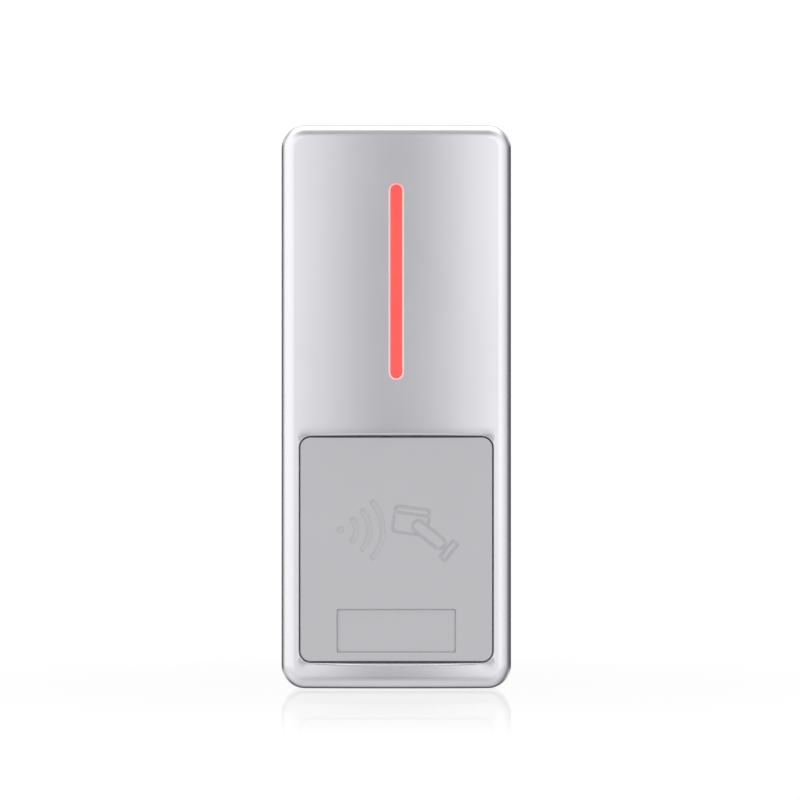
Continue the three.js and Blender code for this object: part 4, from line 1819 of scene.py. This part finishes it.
def domed(radius: float, height: float) -> Profile:
    """The profile of a low domed head with a rounded rim.

    Args:
        radius: The head's radius.
        height: Its height.

    Returns:
        The profile.
    """
    rim = [(radius - 0.1, 0.0), (radius, 0.1), (radius, height * 0.42)]
    turns = [math.pi / 2 * i / 6 for i in range(1, 6)]
    dome = [
        (radius * (0.62 + 0.38 * math.cos(t)), height * (0.42 + 0.58 * math.sin(t))) for t in turns
    ]
    return [*rim, *dome, (radius * 0.6, height), (0.0, height)]


# ---- The wall plate ----


@dataclass
class WallPlate:
    """The folded steel plate that is screwed to the wall, with its grommet and nut."""

    width: float = 45.0
    low: float = -56.4
    high: float = 57.4
    corner: float = 4.0
    thickness: float = 1.2
    bend: float = 1.0
    shelf: float = 58.9
    hook_y: float = -5.6
    hook_half: float = 12.0
    tab_z: float = -57.65
    tab_front: float = -9.0
    tab_half: float = 7.0
    cable_z: float = 14.0
    bead_x: float = 16.0
    bead_height: float = 88.0

    def flat_outline(self) -> Outline:
        """The sheet's outline before it is folded, with the necks of the hook and the tab.

        Returns:
            The outline.
        """
        middle = (self.high + self.low) / 2
        plain = rounded_outline(self.width, self.high - self.low, self.corner, 12, z=middle)
        hook_end = self.shelf - self.bend + math.pi * self.bend + 5.0
        tab_end = self.tab_z + self.bend - math.pi / 2 * self.bend + self.tab_front + 1.6
        outline = []
        for quarter in range(4):
            outline += plain[13 * quarter : 13 * quarter + 13]
            if quarter == 0:
                half = self.hook_half
                outline += [(half, self.high), (half, hook_end), (-half, hook_end), (-half, self.high)]
            if quarter == 2:
                half = self.tab_half
                outline += [(-half, self.low), (-half, tab_end), (half, tab_end), (half, self.low)]
        return outline

    def folded(self, point: Vector) -> Vector:
        """Where a point of the flat sheet lands once the hook and the tab are folded.

        Args:
            point: The point of the flat sheet.

        Returns:
            Where it lands.
        """
        off = point.y + self.thickness / 2
        start = self.shelf - self.bend if point.z > 0 else -self.tab_z - self.bend
        way = math.copysign(1.0, point.z)
        along = abs(point.z) - start
        quarter = math.pi / 2 * self.bend
        if along <= 0:
            return point
        turn = min(along, quarter) / self.bend
        reach = self.bend + off
        y = -self.thickness / 2 - self.bend + reach * math.cos(turn)
        level = start + reach * math.sin(turn)
        along -= quarter
        flat = -self.hook_y - self.thickness / 2 - 2 * self.bend if way > 0 else math.inf
        y -= max(min(along, flat), 0.0)
        along -= flat
        if along > 0:
            turn = min(along, quarter) / self.bend
            reach = self.bend - off
            y = self.hook_y + self.bend - reach * math.sin(turn)
            level = self.shelf + self.bend - reach * math.cos(turn) + max(along - quarter, 0.0)
        return Vector((point.x, y, way * level))

    def bead(self, x: float, grown: float, levels: tuple[float, float]) -> Solid:
        """One pressed bead, as the tool that sinks its back or the ridge on its front.

        Args:
            x: The place across.
            grown: How far it is drawn out.
            levels: The levels of its two faces.

        Returns:
            The solid.
        """
        rings = []
        for half, y in ((1.5 + grown, levels[0]), (1.5 + grown, levels[0] - 0.02), (0.9 + grown, levels[1])):
            rings.append(ring_at(stadium_outline(2 * half, self.bead_height - 3 + 2 * half, x=x), y))
        return loft(rings)

    def sheet(self) -> Solid:
        """The sheet, cut and pressed flat, then folded.

        Returns:
            The closed mesh.
        """
        bm = prism(self.flat_outline(), 0.0, -self.thickness)
        ridges = [self.bead(side * self.bead_x, 0.15, (-1.0, -1.6)) for side in (-1, 1)]
        bm = combine(bm, ridges, Joining.ADD)
        tools = [prism(stadium_outline(4.5, 16, 16, z=side * 36.0), 1, -3) for side in (-1, 1)]
        tools += [self.bead(side * self.bead_x, 0.0, (0.03, -0.45)) for side in (-1, 1)]
        tools.append(prism(circle_outline(6.5, 64, 0, self.cable_z), 1, -3))
        tools.append(prism(circle_outline(3.5, 48, -10, 6), 1, -3))
        screw = self.tab_z + self.bend - math.pi / 2 * self.bend + self.hook_y + 1.6
        tools.append(prism(circle_outline(1.8, 32, 0, screw), 1, -3))
        bm = eased(combine(bm, tools, Joining.CUT), 0.09, 55.0)
        folds = [start + i * 0.1963 for start in (57.9, 62.471) for i in range(9)]
        folds += [-56.65 - i * 0.1963 for i in range(9)]
        slice_across(bm, "z", [*folds, 50.0, 40.0, 20.0, 0.0, -20.0, -40.0, -50.0])
        bmesh.ops.triangulate(bm, faces=[face for face in bm.faces if len(face.verts) > 4])
        for vert in bm.verts:
            vert.co = self.folded(vert.co)
        return bm

    def grommet(self) -> Solid:
        """The rubber ring that guards the cable from the plate's edge.

        Returns:
            The closed mesh.
        """
        profile = [
            (5.4, -2.05), (5.65, -2.3), (6.3, -2.3), (6.5, -2.15), (6.9, -2.15), (7.1, -2.3),
            (7.75, -2.3), (8.0, -2.05), (8.0, -1.6), (7.8, -1.4), (6.2, -1.4), (6.2, -0.35),
            (5.95, -0.1), (5.65, -0.1), (5.4, -0.35),
        ]
        return turned(profile, (0, self.cable_z), sides=64, closed=True)

    def nut(self) -> Solid:
        """The clinch nut on the tab, with its thread and knurled rim.

        Returns:
            The closed mesh.
        """
        low = self.tab_z + self.thickness / 2 + 0.1
        high = low + 1.6
        outside = [(1.75, low), (2.65, low), (2.75, low + 0.1), (2.75, high - 0.25), (2.5, high)]
        inside = [
            (1.65 + 0.16 * (i % 2), high - 0.12 - (1.6 - 0.24) * i / 7) for i in range(8)
        ]
        return turned(outside + inside, (0, self.hook_y), Axis.UPRIGHT, 40, closed=True)

    def build(self, bench: Bench) -> None:
        """Makes the plate, the grommet and the nut.

        Args:
            bench: Where the pieces are placed.
        """
        on = Body.WALL_PLATE
        bench.place("wall_plate_sheet", self.sheet(), on, Slot.ZINC_STEEL, "wall_plate")
        bench.place("cable_grommet_ring", self.grommet(), on, Slot.BLACK_RUBBER, "cable_grommet")
        bench.place("plate_nut_body", self.nut(), on, Slot.STAINLESS, "plate_nut")


# ---- The lock screw ----


@dataclass
class LockHardware:
    """The screw from below that locks the case to the plate, and its washer."""

    y: float = -5.6
    washer_low: float = -60.65
    washer_high: float = -60.15
    head_top: float = -60.75

    def washer(self) -> Solid:
        """The nylon washer.

        Returns:
            The closed mesh.
        """
        low, high = self.washer_low, self.washer_high
        profile = [
            (1.65, low + 0.1), (1.75, low), (3.0, low), (3.1, low + 0.1),
            (3.1, high - 0.1), (3.0, high), (1.75, high), (1.65, high - 0.1),
        ]
        return turned(profile, (0, self.y), Axis.UPRIGHT, closed=True)

    def build(self, bench: Bench) -> None:
        """Makes the washer and the screw.

        Args:
            bench: Where the pieces are placed.
        """
        head = [(2.7, 0.0), (2.8, 0.1), (2.8, 0.85), (2.7, 1.05), (2.0, 1.6), (1.85, 1.7), (0.0, 1.7)]
        screw = Screw(head, 1.4, 5.8, 1.25, 0.9, 0.5)
        body = screw.mesh((0, self.y), self.head_top, Axis.UPRIGHT, -1)
        bench.place(
            "lock_washer_ring", self.washer(), Body.LOCK_WASHER, Slot.CREAM_NYLON, "lock_washer"
        )
        bench.place("lock_screw_body", body, Body.LOCK_SCREW, Slot.STAINLESS, "lock_screw")


# ---- The rear cover ----


@dataclass
class RearCover:
    """The black lid over the electronics, with its seal, screws, gland and label."""

    width: float = 47.4
    height: float = 108.2
    z: float = 1.2
    rear: float = -3.6
    front: float = -6.0
    screws: tuple = COVER_SCREW_PLACES
    cable_z: float = 14.0
    pocket: float = 6.4
    pocket_pitch: float = 8.2

    def lid(self) -> Solid:
        """The ribbed lid.

        Returns:
            The closed mesh.
        """
        blank = loft(
            [
                ring_at(
                    rounded_outline(
                        self.width - 2 * inset, self.height - 2 * inset, 3 - inset, 10, z=self.z
                    ),
                    y,
                )
                for inset, y in (
                    (0.15, self.front), (0, self.front + 0.15), (0, self.rear - 0.4),
                    (0.12, self.rear - 0.12), (0.4, self.rear),
                )
            ]
        )
        tools = [prism(circle_outline(1.4, 32, x, z), 0, -8) for x, z in self.screws]
        tools.append(prism(circle_outline(5.9, 64, 0, self.cable_z), 0, -8))
        tools.append(prism(circle_outline(1.9, 32, -10, 6), 0, -8))
        for row in (26.0, 34.2, 42.4, -40.2, -48.4):
            for column in (-1.5, -0.5, 0.5, 1.5):
                x = column * self.pocket_pitch
                shape = rounded_outline(self.pocket, self.pocket, 0.8, 4, x, row)
                narrow = rounded_outline(self.pocket - 0.3, self.pocket - 0.3, 0.65, 4, x, row)
                tools.append(loft([ring_at(shape, self.rear + 0.01), ring_at(narrow, self.rear - 0.8)]))
        return combine(blank, tools, Joining.CUT)

    def seal(self) -> Solid:
        """The silicone ring under the lid, with a raised bead.

        Returns:
            The closed mesh.
        """
        rear, front = self.front - 0.15, -6.85
        section = [
            (0.0, front + 0.1), (0.1, front), (1.1, front), (1.2, front + 0.1),
            (1.2, rear - 0.25), (1.1, rear - 0.15), (0.85, rear - 0.15), (0.7, rear),
            (0.5, rear), (0.35, rear - 0.15), (0.1, rear - 0.15), (0.0, rear - 0.25),
        ]
        return band(47.0, 107.8, 2.8, section, self.z)

    def gland(self) -> Solid:
        """The rubber gland that the cable passes through, with sealing ribs inside.

        Returns:
            The closed mesh.
        """
        profile = [
            (3.6, -7.4), (7.35, -7.4), (7.5, -7.25), (7.5, -6.25), (7.35, -6.1), (5.6, -6.1),
            (5.6, -3.5), (6.75, -3.5), (6.9, -3.35), (6.6, -2.95), (6.4, -2.8), (5.0, -2.8),
            (4.8, -3.1), (4.4, -3.1), (4.2, -2.8), (3.6, -2.8), (3.4, -3.0), (3.4, -3.3),
            (3.9, -3.6), (3.9, -4.1), (3.4, -4.4), (3.4, -4.7), (3.9, -5.0), (3.9, -5.5),
            (3.4, -5.8), (3.4, -7.2),
        ]
        return turned(profile, (0, self.cable_z), sides=64, closed=True)

    def build(self, bench: Bench) -> None:
        """Makes the lid and everything on it.

        Args:
            bench: Where the pieces are placed.
        """
        on = Body.READER
        bench.place("rear_cover_lid", self.lid(), on, Slot.BLACK_PLASTIC, "rear_cover")
        bench.place("cover_seal_ring", self.seal(), on, Slot.CLEAR_SILICONE, "cover_seal")
        bench.place("cable_gland_body", self.gland(), on, Slot.BLACK_RUBBER, "cable_gland")
        label = prism(rounded_outline(30, 16, 1, 8, z=-26), -3.25, -3.5)
        label = eased(label, 0.05)
        bench.place("rating_label_blank", label, on, Slot.LABEL_FILM, "rating_label")
        screw = Screw(domed(2.2, 1.3), 0.95, 7.0, 0.98, 0.7, 0.45)
        for i, (x, z) in enumerate(self.screws, start=1):
            body = screw.mesh((x, z), self.rear + 0.1, Axis.INTO_WALL, 1)
            bench.place(f"cover_screw_{i}_body", body, on, Slot.STAINLESS, f"cover_screw_{i}")


# ---- The tamper switch ----


@dataclass
class TamperSwitch:
    """The switch behind the cover whose plunger rests on the wall; its spring is the frame's."""

    x: float = -10.0
    z: float = 6.0
    size: float = 6.4
    case_front: float = -11.3
    case_rear: float = -7.3

    def case(self) -> Solid:
        """The moulded case with its well.

        Returns:
            The closed mesh.
        """
        shape = rounded_outline(self.size, self.size, 0.5, 5, self.x, self.z)
        blank = eased(prism(shape, self.case_rear, self.case_front), 0.15)
        well = [(2.35, -10.9), (2.35, self.case_rear - 0.2), (2.6, self.case_rear + 0.05)]
        return combine(blank, [turned(well, (self.x, self.z))], Joining.CUT)

    def plunger(self) -> Solid:
        """The nylon plunger with its collar and rounded nose.

        Returns:
            The closed mesh.
        """
        profile = [
            (0.0, -9.0), (1.95, -9.0), (2.05, -8.9), (2.05, -8.3), (1.95, -8.2), (1.6, -8.2),
            (1.6, -1.1), (1.52, -0.8), (1.3, -0.52), (0.8, -0.34), (0.0, -0.3),
        ]
        return turned(profile, (self.x, self.z))

    def build(self, bench: Bench) -> None:
        """Makes the case and the plunger.

        Args:
            bench: Where the pieces are placed.
        """
        bench.place(
            "tamper_switch_body", self.case(), Body.READER, Slot.BLACK_PLASTIC, "tamper_switch_case"
        )
        bench.place(
            "tamper_plunger_rod",
            self.plunger(),
            Body.TAMPER_PLUNGER,
            Slot.CREAM_NYLON,
            "tamper_plunger",
        )


# ---- The circuit board ----


@dataclass(frozen=True)
class Package:
    """A moulded package on the board.

    Attributes:
        node: The frame's node that it stands for.
        size: The body's size across, upright and in height.
        middle: Where it stands.
        legs: How far the legs reach out at the sides and at the ends.
        count: The legs at each side that has them.
        pitch: The distance between legs.
        leg_width: How wide a leg is.
    """

    node: str
    size: tuple[float, float, float]
    middle: tuple[float, float]
    legs: tuple[float, float]
    count: int
    pitch: float
    leg_width: float = 0.35

    def body(self, base: float) -> Solid:
        """The moulded body, tapered from its middle, with a dimple at the first leg.

        Args:
            base: The level of the board.

        Returns:
            The closed mesh.
        """
        width, height, thick = self.size
        rings = []
        for inset, y in ((0.12, 0.2), (0.0, thick * 0.5), (0.12, thick - 0.08), (0.2, thick)):
            outline = rounded_outline(width - 2 * inset, height - 2 * inset, 0.15, 3, *self.middle)
            rings.append(ring_at(outline, base + y))
        corner = (self.middle[0] - width / 2 + 0.8, self.middle[1] + height / 2 - 0.8)
        dimple = turned([(0.35, base + thick + 0.1), (0.3, base + thick - 0.1)], corner, sides=20)
        return combine(loft(rings), [dimple], Joining.CUT)

    def leg_row(self, base: float, across: bool, side: int) -> list[Solid]:
        """The legs along one side of the body.

        Args:
            base: The level of the board.
            across: Whether they point across instead of upright.
            side: 1 for the right or upper side, -1 for the other.

        Returns:
            The legs.
        """
        half = self.size[0 if across else 1] / 2
        reach = self.legs[0 if across else 1]
        high = self.size[2] * 0.45
        shoulder, ankle = half + reach * 0.25, half + reach * 0.55
        path = [(half - 0.2, high), (shoulder, high), (ankle, 0.1), (half + reach, 0.1)]
        outline = ribbon(path, 0.18)
        legs = []
        for i in range(self.count):
            along = (i - (self.count - 1) / 2) * self.pitch

            def place(out: float, level: float, width: float) -> Vector:
                """A point of the leg from its distance out, its level and its width.

                Args:
                    out: The distance out.
                    level: The height above the board.
                    width: The place along the row.

                Returns:
                    The point.
                """
                a, b = side * out, along + width
                x, z = (a, b) if across else (b, a)
                return Vector((self.middle[0] + x, base + level, self.middle[1] + z))

            legs.append(extruded(outline, -self.leg_width / 2, self.leg_width / 2, place))
        return legs

    def all_legs(self, base: float) -> Solid:
        """Every leg of the package.

        Args:
            base: The level of the board.

        Returns:
            The legs as one mesh.
        """
        ways = [(True, side) for side in (-1, 1) if self.legs[0]]
        ways += [(False, side) for side in (-1, 1) if self.legs[1]]
        return merged(*(leg for across, side in ways for leg in self.leg_row(base, across, side)))


@dataclass
class MainBoard:
    """The circuit board, the parts on its back and the lamps on its front."""

    rear: float = -11.4
    front: float = -13.0
    holes: tuple = BOARD_SCREW_PLACES
    base: float = -11.3
    packages: tuple[Package, ...] = (
        Package("processor_chip", (7, 7, 1.4), (9, 33), (0.9, 0.9), 12, 0.5, 0.25),
        Package("rf_chip", (8.6, 3.9, 1.5), (9, 22.5), (0, 1.0), 8, 1.0, 0.4),
        Package("voltage_regulator", (6.5, 3.5, 1.7), (-6.5, 30), (0, 1.5), 3, 2.3, 0.7),
        Package("surge_diode", (4.3, 2.6, 2.1), (14.5, 11), (0.6, 0), 1, 1.0, 1.6),
    )

    def board(self) -> Solid:
        """The board with its notched corners and screw holes.

        Returns:
            The closed mesh.
        """
        outline = [
            (20, -4.5), (20, 46.4), (15.4, 46.4), (15.4, 51.5),
            (-15.4, 51.5), (-15.4, 46.4), (-20, 46.4), (-20, -4.5),
        ]
        tools = [prism(circle_outline(1.35, 32, x, z), 0, -20) for x, z in self.holes]
        return combine(prism(outline, self.rear, self.front), tools, Joining.CUT)

    def pads(self) -> Solid:
        """The tinned rings round the screw holes."""
        section = [(1.4, -11.4), (2.1, -11.4), (2.1, -11.36), (1.4, -11.36)]
        return merged(*(turned(section, hole, closed=True) for hole in self.holes))

    def can(self, middle: tuple[float, float]) -> Solid:
        """A capacitor's can with its rolled waist and scored top.

        Args:
            middle: Where it stands.

        Returns:
            The can.
        """
        b = self.base
        profile = [
            (0.0, b), (2.4, b), (2.5, b + 0.1), (2.5, b + 0.8), (2.3, b + 1.0), (2.3, b + 1.2),
            (2.5, b + 1.4), (2.5, b + 4.1), (2.38, b + 4.3), (2.15, b + 4.4), (0.0, b + 4.4),
        ]
        x, z = middle
        scores = [
            block((x - 1.7, x + 1.7), (b + 4.3, b + 5), (z - 0.08, z + 0.08)),
            block((x - 0.08, x + 0.08), (b + 4.3, b + 5), (z - 1.7, z + 1.7)),
        ]
        return combine(turned(profile, middle), scores, Joining.CUT)

    def lamp(self, z: float) -> tuple[Solid, Solid]:
        """A lamp's base, and its clear dome.

        Args:
            z: The height of its middle.

        Returns:
            The base and the dome.
        """
        base = eased(block((-1.5, 1.5), (-14.0, -13.1), (z - 1.3, z + 1.3)), 0.12)
        turns = [math.pi / 2 * i / 8 for i in range(8)]
        dome = [(1.15 * math.cos(t), -14.0 - 0.9 * math.sin(t)) for t in turns]
        return base, turned([(0.0, -13.9), (1.15, -13.9), *dome, (0.0, -14.91)], (0, z), sides=32)

    def crystal(self) -> Solid:
        """The crystal's can on its flange.

        Returns:
            The closed mesh.
        """
        steps = (
            (5.5, 2.3, 0.0), (5.5, 2.3, 0.45), (5.1, 1.9, 0.55),
            (5.1, 1.9, 3.1), (4.9, 1.7, 3.35), (4.7, 1.5, 3.4),
        )
        rings = [
            ring_at(rounded_outline(2 * a, 2 * c, c - 0.1, 10, 6.5, 43.5), self.base + y)
            for a, c, y in steps
        ]
        return loft(rings)

    def buzzer(self) -> Solid:
        """The round buzzer with its sound hole and ring.

        Returns:
            The closed mesh.
        """
        b = self.base
        profile = [
            (0.9, b + 3.4), (0.9, b + 4.3), (1.0, b + 4.45), (2.0, b + 4.6), (3.2, b + 4.6),
            (3.3, b + 4.5), (3.5, b + 4.5), (3.6, b + 4.6), (4.4, b + 4.6), (4.7, b + 4.5),
            (4.8, b + 4.2), (4.8, b + 0.1), (4.7, b), (0.0, b),
        ]
        return turned([(0.0, b + 3.4), *profile][::-1], (-7.5, 41.0), sides=64)

    def build(self, bench: Bench) -> None:
        """Makes the board and what stands on it.

        Args:
            bench: Where the pieces are placed.
        """
        on = Body.READER
        bench.place("main_board_sheet", self.board(), on, Slot.GREEN_BOARD, "main_board")
        bench.place("main_board_pads", self.pads(), on, Slot.TINNED_CAN)
        for package in self.packages:
            name = package.node
            bench.place(f"{name}_body", package.body(self.base), on, Slot.CHIP_BLACK, name)
            bench.place(f"{name}_legs", package.all_legs(self.base), on, Slot.TINNED_CAN)
        for i, middle in enumerate(((-14.5, 30.0), (-14.5, 23.5)), start=1):
            bench.place(f"capacitor_{i}_can", self.can(middle), on, Slot.TINNED_CAN, f"capacitor_{i}")
        bench.place("crystal_can_body", self.crystal(), on, Slot.TINNED_CAN, "crystal_can")
        bench.place("buzzer_body", self.buzzer(), on, Slot.BLACK_PLASTIC, "buzzer")
        for i in range(6):
            base, dome = self.lamp(LIGHT_BAR_HEIGHT + (i - 2.5) * LAMP_PITCH)
            bench.place(f"status_led_{i + 1}_base", base, on, Slot.WHITE_PLASTIC)
            bench.place(f"status_led_{i + 1}_dome", dome, on, Slot.LED_RESIN, f"status_led_{i + 1}")
        screw = Screw(domed(2.2, 1.4), 0.9, 5.6, 0.98, 0.77, 0.45)
        for i, hole in enumerate(self.holes, start=1):
            body = screw.mesh(hole, self.rear + 0.1, Axis.INTO_WALL, 1)
            bench.place(f"board_screw_{i}_body", body, on, Slot.STAINLESS, f"board_screw_{i}")


# ---- The antenna ----


@dataclass
class Antenna:
    """The flat winding behind the card window."""

    width: float = 36.6
    height: float = 43.6
    corner: float = 4.0
    z: float = -32.2
    band: float = 3.0
    rear: float = -14.3
    front: float = -16.7
    wire: float = 0.29
    turns: int = 5
    layers: int = 4

    def winding(self) -> Solid:
        """Every turn of the winding, side by side and layer on layer.

        Returns:
            The closed mesh.
        """
        loops = []
        for layer in range(self.layers):
            gap = (self.rear - self.front - 2 * self.wire) / (self.layers - 1)
            y = self.front + self.wire + gap * layer
            for turn in range(self.turns):
                inset = self.wire + (self.band - 2 * self.wire) * turn / (self.turns - 1)
                outline = rounded_outline(
                    self.width - 2 * inset, self.height - 2 * inset, self.corner - inset, 5, z=self.z
                )
                loops.append(swept(ring_at(outline, y), self.wire, 7, closed=True))
        return merged(*loops)

    def build(self, bench: Bench) -> None:
        """Makes the winding.

        Args:
            bench: Where the pieces are placed.
        """
        bench.place(
            "antenna_coil_winding", self.winding(), Body.READER, Slot.COPPER_WIRE, "antenna_coil"
        )


# ---- The studio ----


@dataclass
class Studio:
    """The floor, the lights round the reader and the camera."""

    distance: float = 1.0
    view_width: float = 0.1805
    camera_x: float = 0.00084
    camera_z: float = 0.00153
    floor_size: float = 6.0
    floor_glow: float = 1.02
    behind_level: float = 0.75
    side_levels: tuple[dict[float, float], ...] = (
        {
            0: 0.28, 4: 0.36, 9: 0.82, 13: 1.1, 60: 1.2, 100: 1.15, 112: 0.8, 124: 0.04,
            166: 0.02, 172: 1.05,
        },
        {
            0: 0.28, 4: 0.36, 9: 0.88, 13: 1.26, 45: 1.18, 60: 1.0, 78: 0.8, 92: 0.5, 106: 0.2,
            124: 0.03, 166: 0.02, 172: 1.05,
        },
    )
    upright_levels: tuple[dict[float, float], ...] = (
        {0: 0.3, 8: 0.4, 62: 0.42, 76: 0.8, 86: 1.9, 118: 1.9, 136: 0.9, 166: 0.4, 172: 1.05},
        {0: 0.3, 10: 0.36, 35: 0.52, 56: 0.68, 100: 0.66, 114: 0.4, 126: 0.04, 166: 0.02, 172: 1.05},
    )

    def floor(self, low: Vector) -> None:
        """Lays the floor under the reader.

        Args:
            low: The lowest point of the reader.
        """
        bm = bmesh.new()
        half = self.floor_size / 2
        corners = ((-half, -half), (half, -half), (half, half), (-half, half))
        bm.faces.new([bm.verts.new((x, y, low.z - 0.0003)) for x, y in corners])
        mesh = bpy.data.meshes.new("studio_floor")
        bm.to_mesh(mesh)
        bm.free()
        made = bpy.data.objects.new("studio_floor", mesh)
        bpy.context.scene.collection.objects.link(made)
        mesh.materials.append(self.floor_material())
        made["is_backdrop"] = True

    def floor_material(self) -> bpy.types.Material:
        """White to the camera, with a gloss that shows the reader's foot and fades away from it.

        Returns:
            The material.
        """
        surface = Surface("Studio floor")
        place = surface.add("ShaderNodeTexCoord").outputs["Object"]
        away = surface.add("ShaderNodeVectorMath", {0: place}, operation="LENGTH").outputs["Value"]
        fade = surface.spread(away, 0.05, 0.2, (0.38, 0.0))
        grazing = surface.add("ShaderNodeFresnel", {"IOR": 1.45}).outputs[0]
        share = surface.sum("MULTIPLY", fade, grazing)
        gloss = surface.add("ShaderNodeBsdfGlossy", {"Roughness": 0.03}, distribution="GGX")
        glow = surface.add("ShaderNodeEmission", {"Strength": self.floor_glow})
        seen = surface.add("ShaderNodeMixShader", {0: share, 1: glow.outputs[0], 2: gloss.outputs[0]})
        clear = surface.add("ShaderNodeBsdfTransparent")
        camera_ray = surface.add("ShaderNodeLightPath").outputs["Is Camera Ray"]
        underneath = surface.add("ShaderNodeNewGeometry").outputs["Backfacing"]
        shown = surface.sum("SUBTRACT", camera_ray, underneath)
        whole = surface.add(
            "ShaderNodeMixShader", {0: shown, 1: clear.outputs[0], 2: seen.outputs[0]}
        )
        surface.feed(surface.tree.nodes["Material Output"].inputs["Surface"], whole.outputs[0])
        return surface.material

    @staticmethod
    def falloff(
        wiring: Wiring, angle: Socket, stops: dict[float, float]
    ) -> Socket:
        """How bright the light is at an angle from the camera's direction.

        Args:
            wiring: The world's nodes.
            angle: The angle in degrees.
            stops: The brightness, up to 2, at each angle that is set.

        Returns:
            The brightness.
        """
        ramp = wiring.add("ShaderNodeValToRGB", {0: wiring.sum("DIVIDE", angle, 180.0)})
        marks = ramp.color_ramp.elements
        while len(marks) > 1:
            marks.remove(marks[0])
        for i, (degrees, level) in enumerate(stops.items()):
            mark = marks[0] if i == 0 else marks.new(degrees / 180)
            mark.position = degrees / 180
            mark.color = (level / 2, level / 2, level / 2, 1)
        return wiring.sum("MULTIPLY", ramp.outputs[0], 2.0)

    def world(self) -> None:
        """The light from all round: large boxes at both sides, one above, and a pale back wall."""
        world = bpy.data.worlds.new("Studio light")
        bpy.context.scene.world = world
        world.use_nodes = True
        wiring = Wiring(world.node_tree)
        output = world.node_tree.nodes["World Output"]
        direction = wiring.add("ShaderNodeTexCoord").outputs["Generated"]
        x, y, z = wiring.add("ShaderNodeSeparateXYZ", {0: direction}).outputs
        front = wiring.sum("MULTIPLY", y, -0.9999)
        off_axis = wiring.sum("MULTIPLY", wiring.sum("ARCCOSINE", front), 180 / math.pi)
        turned_by = wiring.sum("ABSOLUTE", wiring.sum("ARCTAN2", x, front))
        azimuth = wiring.sum("MULTIPLY", turned_by, 180 / math.pi)
        left, right = (self.falloff(wiring, azimuth, stops) for stops in self.side_levels)
        above, below = (self.falloff(wiring, off_axis, stops) for stops in self.upright_levels)
        on_right = wiring.spread(x, -0.02, 0.02)
        side = wiring.add("ShaderNodeMix", {0: on_right, 2: left, 3: right}).outputs[0]
        overhead = wiring.spread(z, -0.02, 0.02)
        upright = wiring.add("ShaderNodeMix", {0: overhead, 2: below, 3: above}).outputs[0]
        across = wiring.sum("MULTIPLY", x, x)
        beyond = wiring.sum("ADD", wiring.sum("ADD", across, wiring.sum("MULTIPLY", z, z)), 1e-6)
        sideways = wiring.spread(wiring.sum("DIVIDE", across, beyond), 0.05, 0.8)
        ahead = wiring.spread(off_axis, 42.0, 24.0)
        share = wiring.sum("MAXIMUM", sideways, ahead)
        strip = wiring.sum("MULTIPLY", side, wiring.spread(z, -0.13, -0.03, (0.72, 1.0)))
        steep = wiring.sum("ABSOLUTE", z)
        tilted = wiring.spread(steep, 0.1, 0.25, (0.0, self.behind_level))
        tilted = wiring.sum("MULTIPLY", tilted, wiring.spread(steep, 0.6, 0.4))
        behind = wiring.sum("MULTIPLY", wiring.spread(off_axis, 112.0, 130.0), tilted)
        strip = wiring.sum("MAXIMUM", strip, behind)
        strength = wiring.add("ShaderNodeMix", {0: share, 2: upright, 3: strip}).outputs[0]
        light = wiring.add("ShaderNodeBackground", {"Color": (1, 1, 1, 1), "Strength": strength})
        seen = wiring.add("ShaderNodeBackground", {"Color": (1, 1, 1, 1), "Strength": 1.05})
        camera_ray = wiring.add("ShaderNodeLightPath").outputs["Is Camera Ray"]
        mix = wiring.add(
            "ShaderNodeMixShader", {0: camera_ray, 1: light.outputs[0], 2: seen.outputs[0]}
        )
        wiring.feed(output.inputs["Surface"], mix.outputs[0])

    def camera(self) -> None:
        """Sets the camera level with the reader's middle, far off and with a long lens."""
        data = bpy.data.cameras.new("Camera")
        data.sensor_width = 36.0
        data.lens = 36.0 * self.distance / self.view_width
        data.clip_end = 20.0
        made = bpy.data.objects.new("Camera", data)
        made.location = (self.camera_x, -self.distance - 0.021, self.camera_z)
        made.rotation_euler = (math.pi / 2, 0, 0)
        bpy.context.scene.collection.objects.link(made)
        bpy.context.scene.camera = made

    def build(self, low: Vector) -> None:
        """Sets up the studio above the lowest point of the reader.

        Args:
            low: The lowest point of the reader.
        """
        self.floor(low)
        self.world()
        self.camera()
        view = bpy.context.scene.view_settings
        view.view_transform = "Standard"
        view.look = "None"


def main() -> None:
    """Builds every sub-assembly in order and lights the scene."""
    logging.basicConfig(level=logging.INFO, format="%(name)s: %(message)s")
    low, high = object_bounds()
    Studio().build(low)
    bench = Bench()
    FrontHousing().build(bench)
    CardWindow().build(bench)
    LightBar().build(bench)
    Antenna().build(bench)
    MainBoard().build(bench)
    TamperSwitch().build(bench)
    RearCover().build(bench)
    WallPlate().build(bench)
    LockHardware().build(bench)
    bench.dress_the_rest()


if __name__ == "__main__":
    main()
